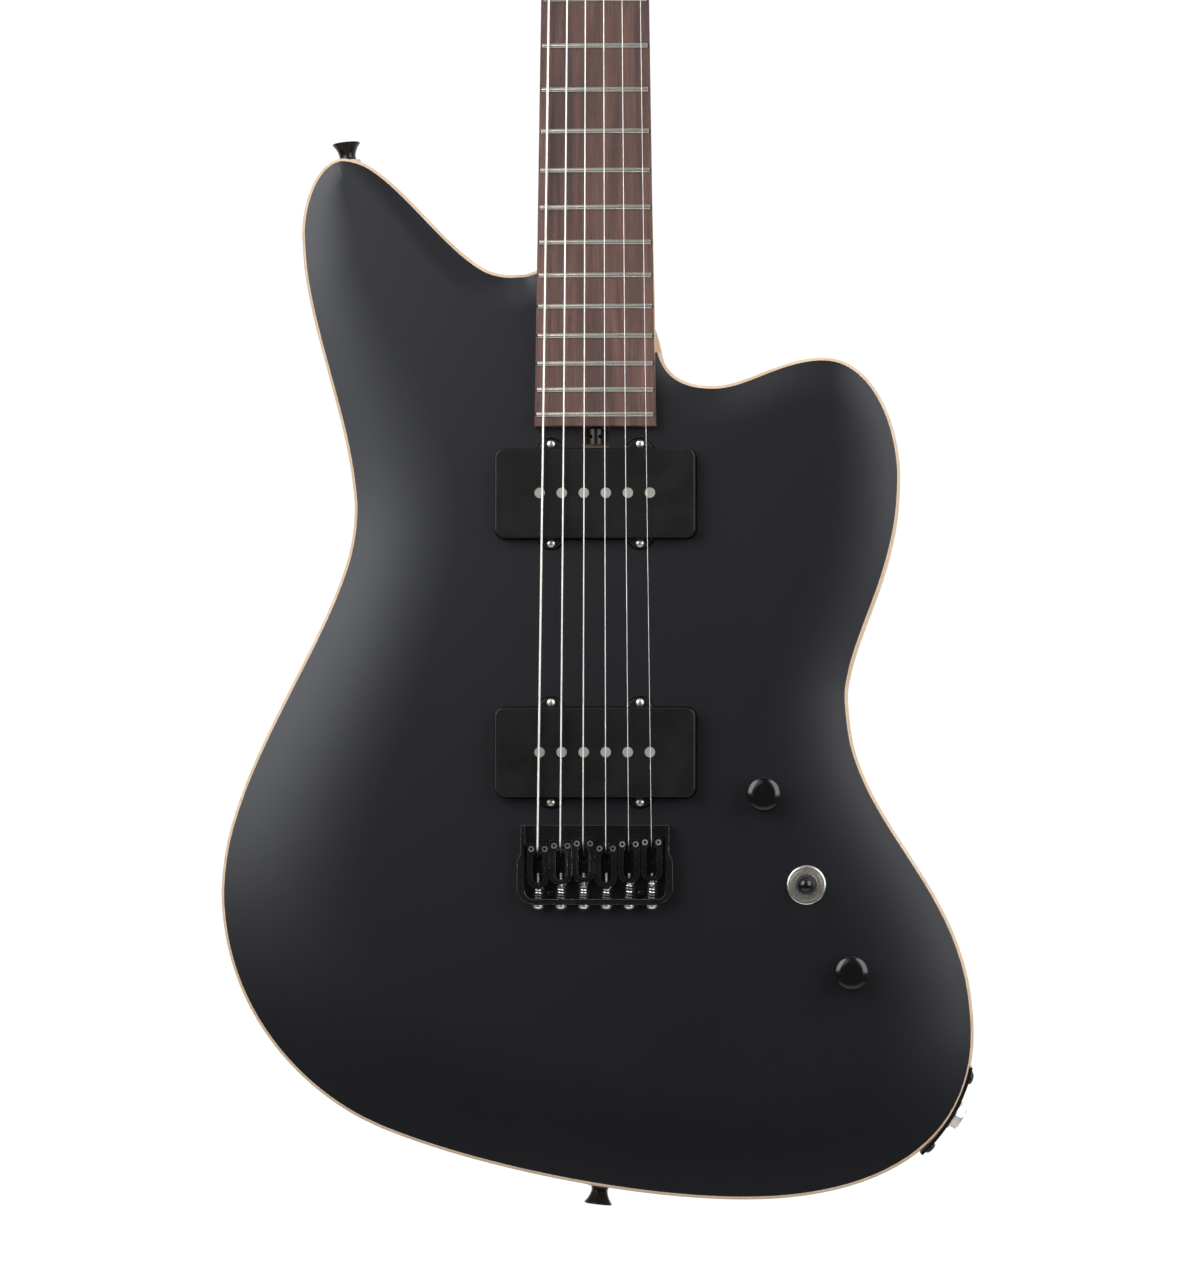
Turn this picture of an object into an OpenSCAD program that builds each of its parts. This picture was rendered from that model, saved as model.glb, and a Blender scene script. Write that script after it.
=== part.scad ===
// Electric guitar with an offset-waist solid body, a bolt-on neck and strings through the body.
// It is drawn lying on its back: X towards the treble side, Y along the neck from the bridge
// scale line, Z out of the face, with 0 on the flat middle of the face.
// upright() then stands it up, face to -Y and headstock to +Z, hanging from its headstock.

/* [Scale and strings] */
// Scale length, from the nut to the bridge scale line
scale_length = 648; // [645:1:651]
// Number of frets
fret_count = 21; // [20:1:22]
// Width of the neck at the nut
nut_width = 42; // [41:0.5:44]
// Width of the neck at the end of the fingerboard
heel_width = 56; // [55:0.5:57]
// String spread at the nut, first to last
nut_spread = 35.5; // [34:0.5:36]
// String spread at the bridge, first to last
bridge_spread = 52.5; // [51:0.5:53]
// Crown radius of the fingerboard
board_radius = 305; // [240:5:400]
// Thickness of the fingerboard at its middle
board_thickness = 6; // [5:0.5:6.5]

/* [Body] */
// Thickness of the body at the flat middle of its face
body_thickness = 43; // [42:0.5:46]
// Radius of the bare wood edge round the face
edge_round = 2; // [1.5:0.25:2.5]
// Radius of the edge round the back
back_round = 3; // [2:0.5:4]
// Drop of the arched rim for each millimetre of its width
rim_slope = 0.11; // [0.08:0.01:0.13]

/* [Pickups] */
// Length of a pickup cover, across the strings
cover_length = 93; // [91:0.5:94]
// Width of a pickup cover, along the strings
cover_width = 41.7; // [41:0.1:42.5]
// Middle of the neck pickup, from the scale line
neck_pickup_y = 156.3; // [155:0.1:157]
// Middle of the bridge pickup, from the scale line
bridge_pickup_y = 36.5; // [36:0.1:38]

/* [Bridge] */
// Height of the middle strings over the face at the saddles
string_height = 14; // [13.5:0.25:15]
// Width of the bridge tray at its rear
tray_width = 71.8; // [71:0.2:73]
// Distance of the string holes behind the scale line
string_hole_y = 13; // [12.5:0.25:13.5]

/* [Controls] */
// Diameter of a knob
knob_diameter = 15.7; // [15:0.1:17]
// Height of a knob
knob_height = 15; // [14:0.5:17]

/* [Hidden] */
$fn = 64;
crown_fn = 256;
gap = 0.05;       // running clearance, radial
seat_gap = 0.02;  // clearance of a fixed piece in its seat
through = 1;      // how far a cut runs past a face

STRINGS = [1:6];

// ---- Heights, from the face ----
board_top = 9;
board_bottom = board_top - board_thickness;
pocket_floor = -16;
pickup_floor = -16;
back_z = -body_thickness;
head_face = -3.5;
head_thickness = 14.5;
head_back = head_face - head_thickness;
fret_height = 1.1;
nut_string_z = 10.4;      // underside of the middle strings at the nut
side_z = -23;             // middle of the body's side wall

// ---- Neck and fingerboard along Y ----
function fret_y(n) = scale_length / pow(2, n / 12);
board_end = fret_y(fret_count) - 5.4;
nut_thickness = 4;
hanger_y = scale_length + 16;
neck_screw_x = [-17, 17];
neck_screw_y = [203, 238];
function neck_half(y) =
    nut_width / 2 + (heel_width - nut_width) / 2 * (scale_length - y) / (scale_length - board_end);

// ---- Strings, first the lowest ----
string_radius = [0.584, 0.457, 0.33, 0.216, 0.165, 0.127];
saddle_y = [-5.5, -4, -3, -5.3, -3.3, -2.4];
function string_share(k) = (k - 3.5) / 5;
function bridge_x(k) = bridge_spread * string_share(k);
function nut_x(k) = nut_spread * string_share(k);
function string_x(k, y) = bridge_x(k) + (nut_x(k) - bridge_x(k)) * y / scale_length;
function crown(x) = x * x / (2 * board_radius);
function saddle_top(k) = string_height - crown(bridge_x(k));
nub_length = 2.5;
function break_point(k) =
    [bridge_x(k), saddle_y[k - 1] - nub_length, saddle_top(k) + string_radius[k - 1]];
function nut_point(k) =
    [nut_x(k), scale_length, nut_string_z - crown(nut_x(k)) + string_radius[k - 1]];

// ---- Headstock and tuners ----
post_radius = 3;
post_first_y = scale_length + 38;
post_pitch = 26;
wound_z = 2.2;            // height at which a string meets its post
function post_y(k) = post_first_y + post_pitch * (k - 1);
function wound_x(k) = string_x(k, post_y(k));
wound_gap = 0.15;         // play between a post and the string wound on it
function post_x(k) = wound_x(k) - post_radius - wound_gap - string_radius[k - 1];
post_line = atan2(post_y(6) - post_y(1), post_x(6) - post_x(1));
button_line = post_line + 90;
worm_offset = 6.2;
worm_z = head_back - 4.6;
tree_y = 725;
tree_x = (string_x(5, tree_y) + string_x(6, tree_y)) / 2;
tree_z = 1.2;             // middle of a string under the tree

// ---- Controls ----
volume_at = [78, 17.3];
toggle_at = [97.4, -24.7];
tone_at = [118.3, -64.9];
cavity_end = [128, -90];
cavity_middle = (volume_at + cavity_end) / 2;
cavity_heading = atan2(cavity_end[1] - volume_at[1], cavity_end[0] - volume_at[0]);
cavity_size = [160, 44];
cavity_corner = 18;
cover_rim = 6;            // how far the cover reaches past the cavity
cavity_ceiling = -6;
cover_thickness = 2.5;
pot_radius = 12;
bushing_radius = 4.7;
shaft_radius = 3;
toggle_pivot_z = -3;

// ---- Output jack, on an arc of the lower treble side ----
jack_arc_centre = [98.3, -92.3];
jack_arc_radius = 75.8;
jack_heading = -30;
jack_plate_thickness = 1.7;
jack_plate_half = 17.5;   // degrees of the arc on each side of the socket
jack_screw_angle = 13.8;
jack_screw_z = 12.5;
jack_bore = 3.25;

// ---- Face outline ----
// Anchors of the painted face, clockwise: x, y, heading, handle before, handle after, rim width.
face_anchors = [
    [27.5, 224.5, -81, 18, 12, 10],    // treble side of the neck
    [54.5, 204.5, 0, 18, 16, 18],      // treble cutaway
    [105.5, 217.5, 0, 20, 20, 17],     // top of the treble horn
    [139, 163, -90, 28, 45, 36],       // side of the treble horn
    [114.5, 61, -90, 28, 59, 42],      // treble waist
    [172.5, -92.5, -90, 69, 52, 50],   // treble lower bout
    [68.5, -168, 180, 60, 59, 50],     // bottom
    [-102.5, -134, 156, 39, 36, 58],   // below the bass bout
    [-172.5, -27, 90, 55, 58, 66],     // bass lower bout
    [-110.5, 147, 90, 47, 42, 48],     // bass waist
    [-135, 278, 90, 41, 15, 23],       // side of the bass horn
    [-117, 311, 0, 11, 22, 7],         // tip of the bass horn
    [-42.5, 256.5, 0, 23, 19, 16],     // bass cutaway
    [-7, 264, 13, 33, 15, 10],         // under the neck
];
face_steps = 8;           // points from one anchor to the next

// ---- Headstock outline, clockwise from the bass side of the nut ----
head_anchors = [
    [-21.3, 664, 104, 2, 10, 0],
    [-32.5, 692, 76, 12, 40, 0],
    [0, 820, 76, 40, 12, 0],
    [14, 836, 0, 8, 8, 0],
    [27, 820, -96, 10, 50, 0],
    [20.6, 664, -98, 50, 2, 0],
];
head_steps = 7;

// ---- Neck sections: y, half width or 0 for the taper, top, bottom, squareness, shift ----
neck_sections = [
    [board_end, 0, board_bottom, pocket_floor, 14, 0],
    [248, 0, board_bottom, pocket_floor, 14, 0],
    [258, 0, board_bottom, -15.8, 9, 0],
    [270, 0, board_bottom, -15.2, 5, 0],
    [284, 0, board_bottom, -14.3, 3.2, 0],
    [304, 0, board_bottom, -13.6, 2.5, 0],
    [340, 0, board_bottom, -13.4, 2.3, 0],
    [500, 0, board_bottom, -12.7, 2.2, 0],
    [630, 0, board_bottom, -12, 2.2, 0],
    [scale_length + nut_thickness, 21, board_bottom, -12.4, 2.3, 0],
    [scale_length + 4.6, 21, 0.6, -12.6, 2.4, 0],
    [scale_length + 8, 21, -1.2, -13.4, 2.7, 0],
    [scale_length + 14, 21.3, -2.9, -15, 3.4, -0.3],
    [scale_length + 20, 22.2, -3.7, -16.8, 4.5, -1],
    [scale_length + 32, 20, -4.6, -17.2, 6, -2],
    [scale_length + 44, 15, -6, -16.5, 4, -2],
];
section_points = 20;

// ---- Curves ----
function heading(a) = [cos(a), sin(a)];
function bezier(p, q, t) =
    let (a = [p[0], p[1]], d = [q[0], q[1]],
         b = a + p[4] * heading(p[2]), c = d - q[3] * heading(q[2]), u = 1 - t)
    u * u * u * a + 3 * u * u * t * b + 3 * u * t * t * c + t * t * t * d;
function closed_curve(anchors, steps) = [
    for (i = [0:len(anchors) - 1], j = [0:steps - 1])
        bezier(anchors[i], anchors[(i + 1) % len(anchors)], j / steps)
];
function outward(points, i) =
    let (n = len(points), t = points[(i + 1) % n] - points[(i + n - 1) % n])
    [-t[1], t[0]] / norm(t);
function smooth(t) = t * t * (3 - 2 * t);
function anchor_width(anchors, steps, i) =
    let (a = floor(i / steps), t = smooth((i % steps) / steps))
    anchors[a][5] * (1 - t) + anchors[(a + 1) % len(anchors)][5] * t;

face_points = closed_curve(face_anchors, face_steps);
face_count = len(face_points);
face_normals = [for (i = [0:face_count - 1]) outward(face_points, i)];
rim_width = [for (i = [0:face_count - 1]) anchor_width(face_anchors, face_steps, i)];
rim_centre = [-4, 110];   // every point of each ring is in sight of this one
rim_rings = 5;

// Ring of the body: the face outline moved outwards by out plus grow rim widths, at height z - drop rims.
function body_ring(out, grow, z, drop) = [
    for (i = [0:face_count - 1])
        let (p = face_points[i] + (out + grow * rim_width[i]) * face_normals[i])
        [p[0], p[1], z - drop * rim_slope * rim_width[i]]
];
diagonal = 1 - sqrt(0.5);
body_rings = concat(
    [body_ring(edge_round - back_round, 0, back_z, 0),
     body_ring(edge_round - back_round * diagonal, 0, back_z + back_round * diagonal, 0),
     body_ring(edge_round, 0, back_z + back_round, 0),
     body_ring(edge_round, 0, -edge_round, 1),
     body_ring(edge_round * (1 - diagonal), 0, -edge_round * diagonal, 1)],
    [for (k = [0:rim_rings]) body_ring(0, -k / rim_rings, 0, pow(1 - k / rim_rings, 2))]
);

// ---- Placing helpers ----
module upright() {
    translate([0, 0, -hanger_y])
        rotate([90, 0, 0])
            children();
}

// Z of the children along +Y, from y
module along_y(at) {
    translate(at)
        rotate([-90, 0, 0])
            children();
}

module pot_places() {
    for (at = [volume_at, tone_at])
        translate([at[0], at[1], 0])
            children();
}

// Z of the children outwards from the seat of the jack plate
module at_jack() {
    c = jack_arc_centre + jack_arc_radius * heading(jack_heading);
    translate([c[0], c[1], side_z])
        rotate([0, 0, jack_heading])
            rotate([0, 90, 0])
                children();
}

module at_jack_screws() {
    for (a = [-1, 1], z = [-1, 1])
        translate([jack_arc_centre[0], jack_arc_centre[1], side_z + z * jack_screw_z])
            rotate([0, 0, jack_heading + a * jack_screw_angle])
                translate([jack_arc_radius + jack_plate_thickness, 0, 0])
                    rotate([0, 90, 0])
                        children();
}

// Z of the children outwards from the seat of each strap button
module at_strap_buttons() {
    for (b = [[1.2, -163.2, -96.6], [-117, 312.6, 96]])
        translate([b[0], b[1], side_z])
            rotate([0, 0, b[2]])
                rotate([0, 90, 0])
                    children();
}

module at_pickup_screws() {
    for (y = [neck_pickup_y, bridge_pickup_y], sx = [-1, 1], sy = [-1, 1])
        translate([sx * ear_at[0], y + sy * ear_screw_y, 0])
            children();
}

module at_neck_screws() {
    for (x = neck_screw_x, y = neck_screw_y)
        translate([x, y, back_z])
            children();
}

module at_cover_screws() {
    reach = [cavity_size[0] / 2 + cover_rim - 3.2, cavity_size[1] / 2 + cover_rim - 3.2];
    for (p = [[-0.985, -0.45], [-0.985, 0.45], [0, -1], [0, 1], [0.985, -0.45], [0.985, 0.45]])
        translate([cavity_middle[0], cavity_middle[1], back_z])
            rotate([0, 0, cavity_heading])
                translate([p[0] * reach[0], p[1] * reach[1], 0])
                    children();
}

module at_tray_screws() {
    for (x = [-21, 21], y = [-17, -28.6])
        translate([x, y, tray_floor])
            children();
}

// X of the children outwards along the button, Z up, at the post of tuner k
module at_tuner(k) {
    translate([post_x(k), post_y(k), 0])
        rotate([0, 0, button_line])
            children();
}

// Ring i of a tube of radius r through points, mitred at each bend
function unit(v) = v / norm(v);
function line_ring(points, i, r, sides, across) =
    let (last = len(points) - 1,
         before = unit(points[max(i, 1)] - points[max(i, 1) - 1]),
         after = unit(points[min(i, last - 1) + 1] - points[min(i, last - 1)]),
         along = unit(before + after), u = unit(cross(along, across)), v = cross(u, along))
    [for (a = [0:sides - 1])
        points[i] + r * (cos(360 * a / sides) * u + sin(360 * a / sides) * v)];

// Round line through a list of points
module round_line(points, r, sides = 12, across = [1, 0, 0]) {
    ring_skin(
        [for (i = [0:len(points) - 1]) line_ring(points, i, r, sides, across)],
        points[0],
        points[len(points) - 1]
    );
}

module rounded_rectangle(w, h, r) {
    square([w, h - 2 * r], center = true);
    square([w - 2 * r, h], center = true);
    for (x = [-1, 1], y = [-1, 1])
        translate([x * (w / 2 - r), y * (h / 2 - r)])
            circle(r = r);
}

// Flat shape of the control cavity, grown on every side
module cavity_shape(grow) {
    translate(cavity_middle)
        rotate(cavity_heading)
            rounded_rectangle(
                cavity_size[0] + 2 * grow, cavity_size[1] + 2 * grow, cavity_corner + grow
            );
}

// Closed skin through rings of equal length, with a fan of faces on each end
module ring_skin(rings, first_centre, last_centre) {
    n = len(rings[0]);
    last = len(rings) - 1;
    walls = [
        for (r = [0:last - 1], i = [0:n - 1])
            let (a = r * n + i, b = r * n + (i + 1) % n)
            each [[a, b, b + n], [a, b + n, a + n]]
    ];
    caps = [
        for (i = [0:n - 1])
            let (j = (i + 1) % n)
            each [[j, i, n * (last + 1)], [last * n + i, last * n + j, n * (last + 1) + 1]]
    ];
    polyhedron(
        points = concat([for (ring = rings) each ring], [first_centre, last_centre]),
        faces = concat(walls, caps)
    );
}

// ---- Body ----
truss_slot_width = 12.4;
truss_slot_depth = 7;
toggle_hole = 4.7;
neck_ferrule = [6, 5];    // radius and height
string_ferrule = [4, 12];

module body_blank() {
    ring_skin(
        body_rings,
        [rim_centre[0], rim_centre[1], back_z],
        [rim_centre[0], rim_centre[1], 0]
    );
}

module neck_pocket() {
    far = 300;
    translate([0, 0, pocket_floor])
        linear_extrude(height = 40)
            polygon([
                [-neck_half(board_end) - gap, board_end - seat_gap],
                [neck_half(board_end) + gap, board_end - seat_gap],
                [neck_half(222) + gap, 222],
                [60, 222],
                [60, far],
                [-neck_half(far) - gap, far],
            ]);
}

module pickup_cavity(y) {
    translate([0, y, pickup_floor])
        linear_extrude(height = 20)
            rounded_rectangle(cover_length - 8, cover_width - 9, 5);
    translate([0, y, pickup_seat - seat_gap])
        linear_extrude(height = 10)
            cover_and_ears(pickup_play);
}

// Slot in the face that gives access to the truss rod's nut
module truss_slot() {
    start = neck_pickup_y + cover_width / 2 - 6;
    translate([-truss_slot_width / 2, start, -truss_slot_depth])
        cube([truss_slot_width, board_end + through - start, truss_slot_depth + 3]);
}

module wire_channels() {
    along_y([30, bridge_pickup_y, -12])
        cylinder(r = 3, h = neck_pickup_y - bridge_pickup_y);
    translate([30, bridge_pickup_y - 8, -12])
        rotate([0, 90, 0])
            cylinder(r = 3, h = 40);
}

module control_cavity() {
    translate([0, 0, back_z - through])
        linear_extrude(height = cavity_ceiling - back_z + through)
            cavity_shape(0);
    translate([0, 0, back_z - through])
        linear_extrude(height = cover_thickness + through)
            cavity_shape(cover_rim + gap);
}

module jack_recess() {
    at_jack()
        translate([0, 0, -54])
            cylinder(r = 11, h = 54 + through);
    translate([jack_arc_centre[0], jack_arc_centre[1], side_z - 17.2])
        rotate([0, 0, jack_heading - jack_plate_half - 0.2])
            rotate_extrude(angle = 2 * jack_plate_half + 0.4)
                translate([jack_arc_radius, 0])
                    square([10, 34.4]);
    at_jack_screws()
        translate([0, 0, -20])
            cylinder(r = 1.2, h = 20);
}

module body() {
    color("#26262a")
        difference() {
            body_blank();
            neck_pocket();
            truss_slot();
            pickup_cavity(neck_pickup_y);
            pickup_cavity(bridge_pickup_y);
            wire_channels();
            control_cavity();
            jack_recess();
            pot_places()
                translate([0, 0, cavity_ceiling - through])
                    cylinder(r = bushing_radius + 0.1, h = 10);
            translate([toggle_at[0], toggle_at[1], cavity_ceiling - through])
                cylinder(r = toggle_hole, h = 10);
            for (k = STRINGS)
                translate([bridge_x(k), -string_hole_y, back_z - through]) {
                    cylinder(r = 1.6, h = body_thickness + 2);
                    cylinder(r = string_ferrule[0] + seat_gap, h = string_ferrule[1] + through);
                }
            at_neck_screws() {
                translate([0, 0, -through])
                    cylinder(r = 2.6, h = body_thickness);
                translate([0, 0, -through])
                    cylinder(r = neck_ferrule[0] + seat_gap, h = neck_ferrule[1] + through);
            }
            at_cover_screws()
                cylinder(r = 1.1, h = 14);
            at_tray_screws()
                translate([0, 0, -20])
                    cylinder(r = 1.3, h = 21);
            at_pickup_screws()
                translate([0, 0, -16])
                    cylinder(r = 1.1, h = 17);
            at_strap_buttons() {
                cylinder(r = 6.4, h = 5);
                translate([0, 0, -26])
                    cylinder(r = 1.6, h = 30);
            }
        }
}

// ---- Neck ----
function section_ring(s) =
    let (w = s[1] > 0 ? s[1] : neck_half(s[0]))
    [for (i = [0:section_points - 1])
        let (a = 180 - 180 * i / (section_points - 1), c = cos(a), p = 2 / s[4])
        [s[5] + w * sign(c) * pow(abs(c), p), s[0], s[2] + (s[3] - s[2]) * pow(abs(sin(a)), p)]];

module neck_blank() {
    first = neck_sections[0];
    last = neck_sections[len(neck_sections) - 1];
    ring_skin(
        [for (s = neck_sections) section_ring(s)],
        [0, first[0], (first[2] + first[3]) / 2],
        [0, last[0], (last[2] + last[3]) / 2]
    );
    translate([0, 0, head_back])
        linear_extrude(height = head_thickness)
            polygon(closed_curve(head_anchors, head_steps));
}

module neck() {
    color("#d9b98c")
        difference() {
            neck_blank();
            along_y([0, board_end - through, truss_z])
                cylinder(r = truss_radius + gap, h = 452);
            at_neck_screws()
                translate([0, 0, pocket_floor - back_z - through])
                    cylinder(r = 1.7, h = 17);
            for (k = STRINGS)
                at_tuner(k) {
                    translate([0, 0, head_back - through])
                        cylinder(r = 5, h = head_thickness + 2);
                    translate([lug_at[0], lug_at[1], head_back - through])
                        cylinder(r = 0.8, h = 9);
                }
            translate([tree_x, tree_y, head_face - 9])
                cylinder(r = 1, h = 10);
        }
}

// ---- Fingerboard, frets and nut ----
module board_blank() {
    intersection() {
        translate([0, 0, board_bottom])
            linear_extrude(height = board_thickness + 2)
                polygon([
                    [-neck_half(board_end), board_end],
                    [neck_half(board_end), board_end],
                    [neck_half(scale_length), scale_length],
                    [-neck_half(scale_length), scale_length],
                ]);
        along_y([0, board_end - through, board_top - board_radius])
            cylinder(r = board_radius, h = scale_length, $fn = crown_fn);
    }
}

fret_width = 2.4;
tang_width = 0.5;
tang_depth = 2;

module fingerboard() {
    color("#4a2e24")
        difference() {
            board_blank();
            for (n = [1:fret_count])
                translate([-30, fret_y(n) - tang_width / 2 - seat_gap, board_top - tang_depth - 1.4])
                    cube([60, tang_width + 2 * seat_gap, 10]);
        }
}

// One fret: a crowned bead on a barbed tang, bent to the board's radius
module fret(n) {
    half = asin((neck_half(fret_y(n)) - 1) / board_radius);
    base = board_radius + 0.01;
    translate([0, fret_y(n), board_top - board_radius])
        rotate([-90, 0, 0])
            rotate([0, 0, -90 - half])
                rotate_extrude(angle = 2 * half)
                    polygon(concat(
                        [[base, -tang_width / 2], [base - tang_depth, -tang_width / 2],
                         [base - tang_depth, tang_width / 2], [base, tang_width / 2]],
                        [for (a = [90:-20:-90])
                            [base + 0.15 + (fret_height - 0.15) * cos(a), fret_width / 2 * sin(a)]]
                    ));
}

module frets() {
    color("#c8c8c4")
        for (n = [1:fret_count])
            fret(n);
}

module nut() {
    color("#e8e2d0")
        difference() {
            intersection() {
                translate([-nut_width / 2, scale_length, board_bottom])
                    cube([nut_width, nut_thickness, board_thickness + 3]);
                along_y([0, scale_length - through, board_top - board_radius])
                    cylinder(r = board_radius + 1.9, h = nut_thickness + 2, $fn = crown_fn);
            }
            for (k = STRINGS)
                string_channel(k, 3, 1, 9);
        }
}

// Straight channel of a length along the string, from point i of its path towards point i + step
module string_channel(k, i, step, length) {
    path = string_path(k);
    along = unit(path[i + step] - path[i]);
    round_line([path[i] - 2 * along, path[i] + length * along], string_radius[k - 1] + gap);
}

// ---- Truss rod ----
truss_z = -1;
truss_radius = 2.5;

module truss_rod() {
    color("#8d8d8d")
        along_y([0, board_end - 6, truss_z])
            cylinder(r = truss_radius, h = 450);
}

module truss_rod_nut() {
    color("#303033")
        along_y([0, board_end - 8, truss_z])
            difference() {
                cylinder(r = 4.3, h = 7);
                translate([0, 0, 1.5])
                    cylinder(r = truss_radius + gap, h = 7);
                for (a = [0:60:300])
                    rotate([0, 0, a])
                        translate([2.5, 0, 3.5])
                            rotate([0, 90, 0])
                                cylinder(r = 0.9, h = 3);
            }
}

// ---- Ferrules flush with the back ----
module body_ferrules() {
    color("#b9b9b6") {
        at_neck_screws()
            difference() {
                cylinder(r = neck_ferrule[0], h = neck_ferrule[1]);
                translate([0, 0, -through])
                    cylinder(r = 4.6, h = 3.4 + through);
                cylinder(r = 2.3, h = neck_ferrule[1] + through);
            }
        for (k = STRINGS)
            translate([bridge_x(k), -string_hole_y, back_z])
                difference() {
                    cylinder(r = string_ferrule[0], h = string_ferrule[1]);
                    translate([0, 0, -through])
                        cylinder(r = 2.4, h = 9 + through);
                    cylinder(r = 1.2, h = string_ferrule[1] + through);
                }
    }
}

// ---- Pickups ----
cover_wall = 1.5;
pickup_seat = -3;         // floor of the rout that a pickup sits in
pickup_play = 0.5;        // gap round a cover in its rout
neck_cover_height = 9;
bridge_cover_height = 10;
cover_corner = 4.4;
ear_height = 2.5;
ear_radius = 6.2;
ear_at = [20.6, 19.4];    // middle of an ear, from the middle of its pickup
ear_screw_y = 22.95;
pole_pitch = 10.19;
pole_radius = 2.4;

module cover_shape(grow) {
    rounded_rectangle(cover_length + 2 * grow, cover_width + 2 * grow, cover_corner + grow);
}

// Flat shape of a cover with its four ears
module cover_and_ears(grow) {
    cover_shape(grow);
    for (x = [-1, 1], y = [-1, 1])
        translate([x * ear_at[0], y * ear_at[1]])
            circle(r = ear_radius + grow);
}

module pickup_cover(y, height) {
    color("#141416")
        translate([0, y, 0])
            difference() {
                union() {
                    linear_extrude(height = height)
                        cover_shape(0);
                    translate([0, 0, pickup_seat])
                        linear_extrude(height = ear_height - pickup_seat)
                            cover_and_ears(0);
                }
                translate([0, 0, pickup_seat - through])
                    linear_extrude(height = height - cover_wall - pickup_seat + through)
                        cover_shape(-cover_wall);
                for (k = STRINGS)
                    translate([5 * pole_pitch * string_share(k), 0, 0])
                        cylinder(r = pole_radius + gap, h = height + 1);
                for (x = [-1, 1], s = [-1, 1])
                    translate([x * ear_at[0], s * ear_screw_y, pickup_seat - through])
                        cylinder(r = 1.3, h = 8);
            }
}

module neck_pickup_cover() {
    pickup_cover(neck_pickup_y, neck_cover_height);
}

module bridge_pickup_cover() {
    pickup_cover(bridge_pickup_y, bridge_cover_height);
}

// Children at the base plane of each pickup's cover, 0 being the underside of its top wall
module at_pickups() {
    translate([0, neck_pickup_y, neck_cover_height - cover_wall])
        children();
    translate([0, bridge_pickup_y, bridge_cover_height - cover_wall])
        children();
}

module pickup_pole_magnets() {
    color("#8f8f8a")
        at_pickups()
            for (k = STRINGS)
                translate([5 * pole_pitch * string_share(k), 0, -16])
                    cylinder(r = pole_radius, h = 16 + cover_wall + 0.4);
}

module bobbin_plate(z) {
    translate([0, 0, z])
        linear_extrude(height = 1.5)
            rounded_rectangle(82, 30, 8);
}

module pickup_bobbins() {
    color("#20201f")
        at_pickups()
            difference() {
                union() {
                    bobbin_plate(-1.6);
                    bobbin_plate(-13);
                    translate([0, 0, -12])
                        linear_extrude(height = 11)
                            rounded_rectangle(59, 8, 3.9);
                }
                for (k = STRINGS)
                    translate([5 * pole_pitch * string_share(k), 0, -20])
                        cylinder(r = pole_radius + seat_gap, h = 30);
            }
}

module pickup_coils() {
    color("#7a3a1c")
        at_pickups()
            translate([0, 0, -11.4])
                linear_extrude(height = 9.7)
                    difference() {
                        rounded_rectangle(78, 26, 12);
                        rounded_rectangle(59.2, 8.2, 4);
                    }
}

module pickup_screws() {
    color("#c9c9c6")
        at_pickup_screws() {
            translate([0, 0, -14])
                cylinder(r = 1.05, h = 14 + ear_height);
            translate([0, 0, ear_height])
                difference() {
                    cylinder(r1 = 2.05, r2 = 1.5, h = 1.2);
                    for (a = [0, 90])
                        rotate([0, 0, a])
                            translate([-1.1, -0.25, 0.5])
                                cube([2.2, 0.5, 2]);
                }
        }
}

// ---- Bridge ----
tray_floor = 2;
tray_top = 9;
tray_wall = 2.3;
tray_front_width = 68.3;
tray_inner_width = 65.2;
tray_front = 2.9;
tray_back = -33.6;
screw_z = 6;
saddle_bottom = 3.2;
saddle_deck = 10;
saddle_rim = 1;           // height of the rim round a saddle's slot
saddle_length = 20.3;
saddle_width = 10.1;
slot_length = 13.6;
slot_width = 4.6;
slot_y = -11.4;           // middle of a saddle's slot, from its front
spring_outer = 2.2;
spring_inner = 1.7;
screw_radius = 1.25;
screw_tip_y = -19.1;
screw_head = 2.6;         // height of an intonation screw's head
grub_radius = 1.35;
grub_at = [3.1, -2.6];    // to each side of the string and behind the saddle's front

// Flat shape of the tray: straight in front and bulging at the rear
module tray_outside() {
    bulge_length = 26;
    bulge_corner = 8;
    translate([0, tray_back + bulge_length / 2])
        rounded_rectangle(tray_width, bulge_length, bulge_corner);
    translate([-tray_front_width / 2, tray_back + bulge_length / 2])
        square([tray_front_width, tray_front - tray_back - bulge_length / 2]);
}

// Flat shape of the space inside its walls, open at the front
module tray_inside() {
    corner = 4;
    length = tray_front - tray_back - tray_wall + 2 * corner;
    translate([0, tray_back + tray_wall + length / 2])
        rounded_rectangle(tray_inner_width, length, corner);
}

module bridge_plate() {
    color("#151517")
        difference() {
            linear_extrude(height = tray_top)
                tray_outside();
            translate([0, 0, tray_floor])
                linear_extrude(height = tray_top)
                    tray_inside();
            for (k = STRINGS) {
                translate([bridge_x(k), -string_hole_y, -through])
                    cylinder(r = 1.5, h = tray_floor + 2);
                along_y([bridge_x(k), tray_back - through, screw_z])
                    cylinder(r = screw_radius + gap, h = tray_wall + 2);
            }
            at_tray_screws()
                translate([0, 0, -tray_floor - through])
                    cylinder(r = 1.5, h = tray_floor + 2);
        }
}

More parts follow.
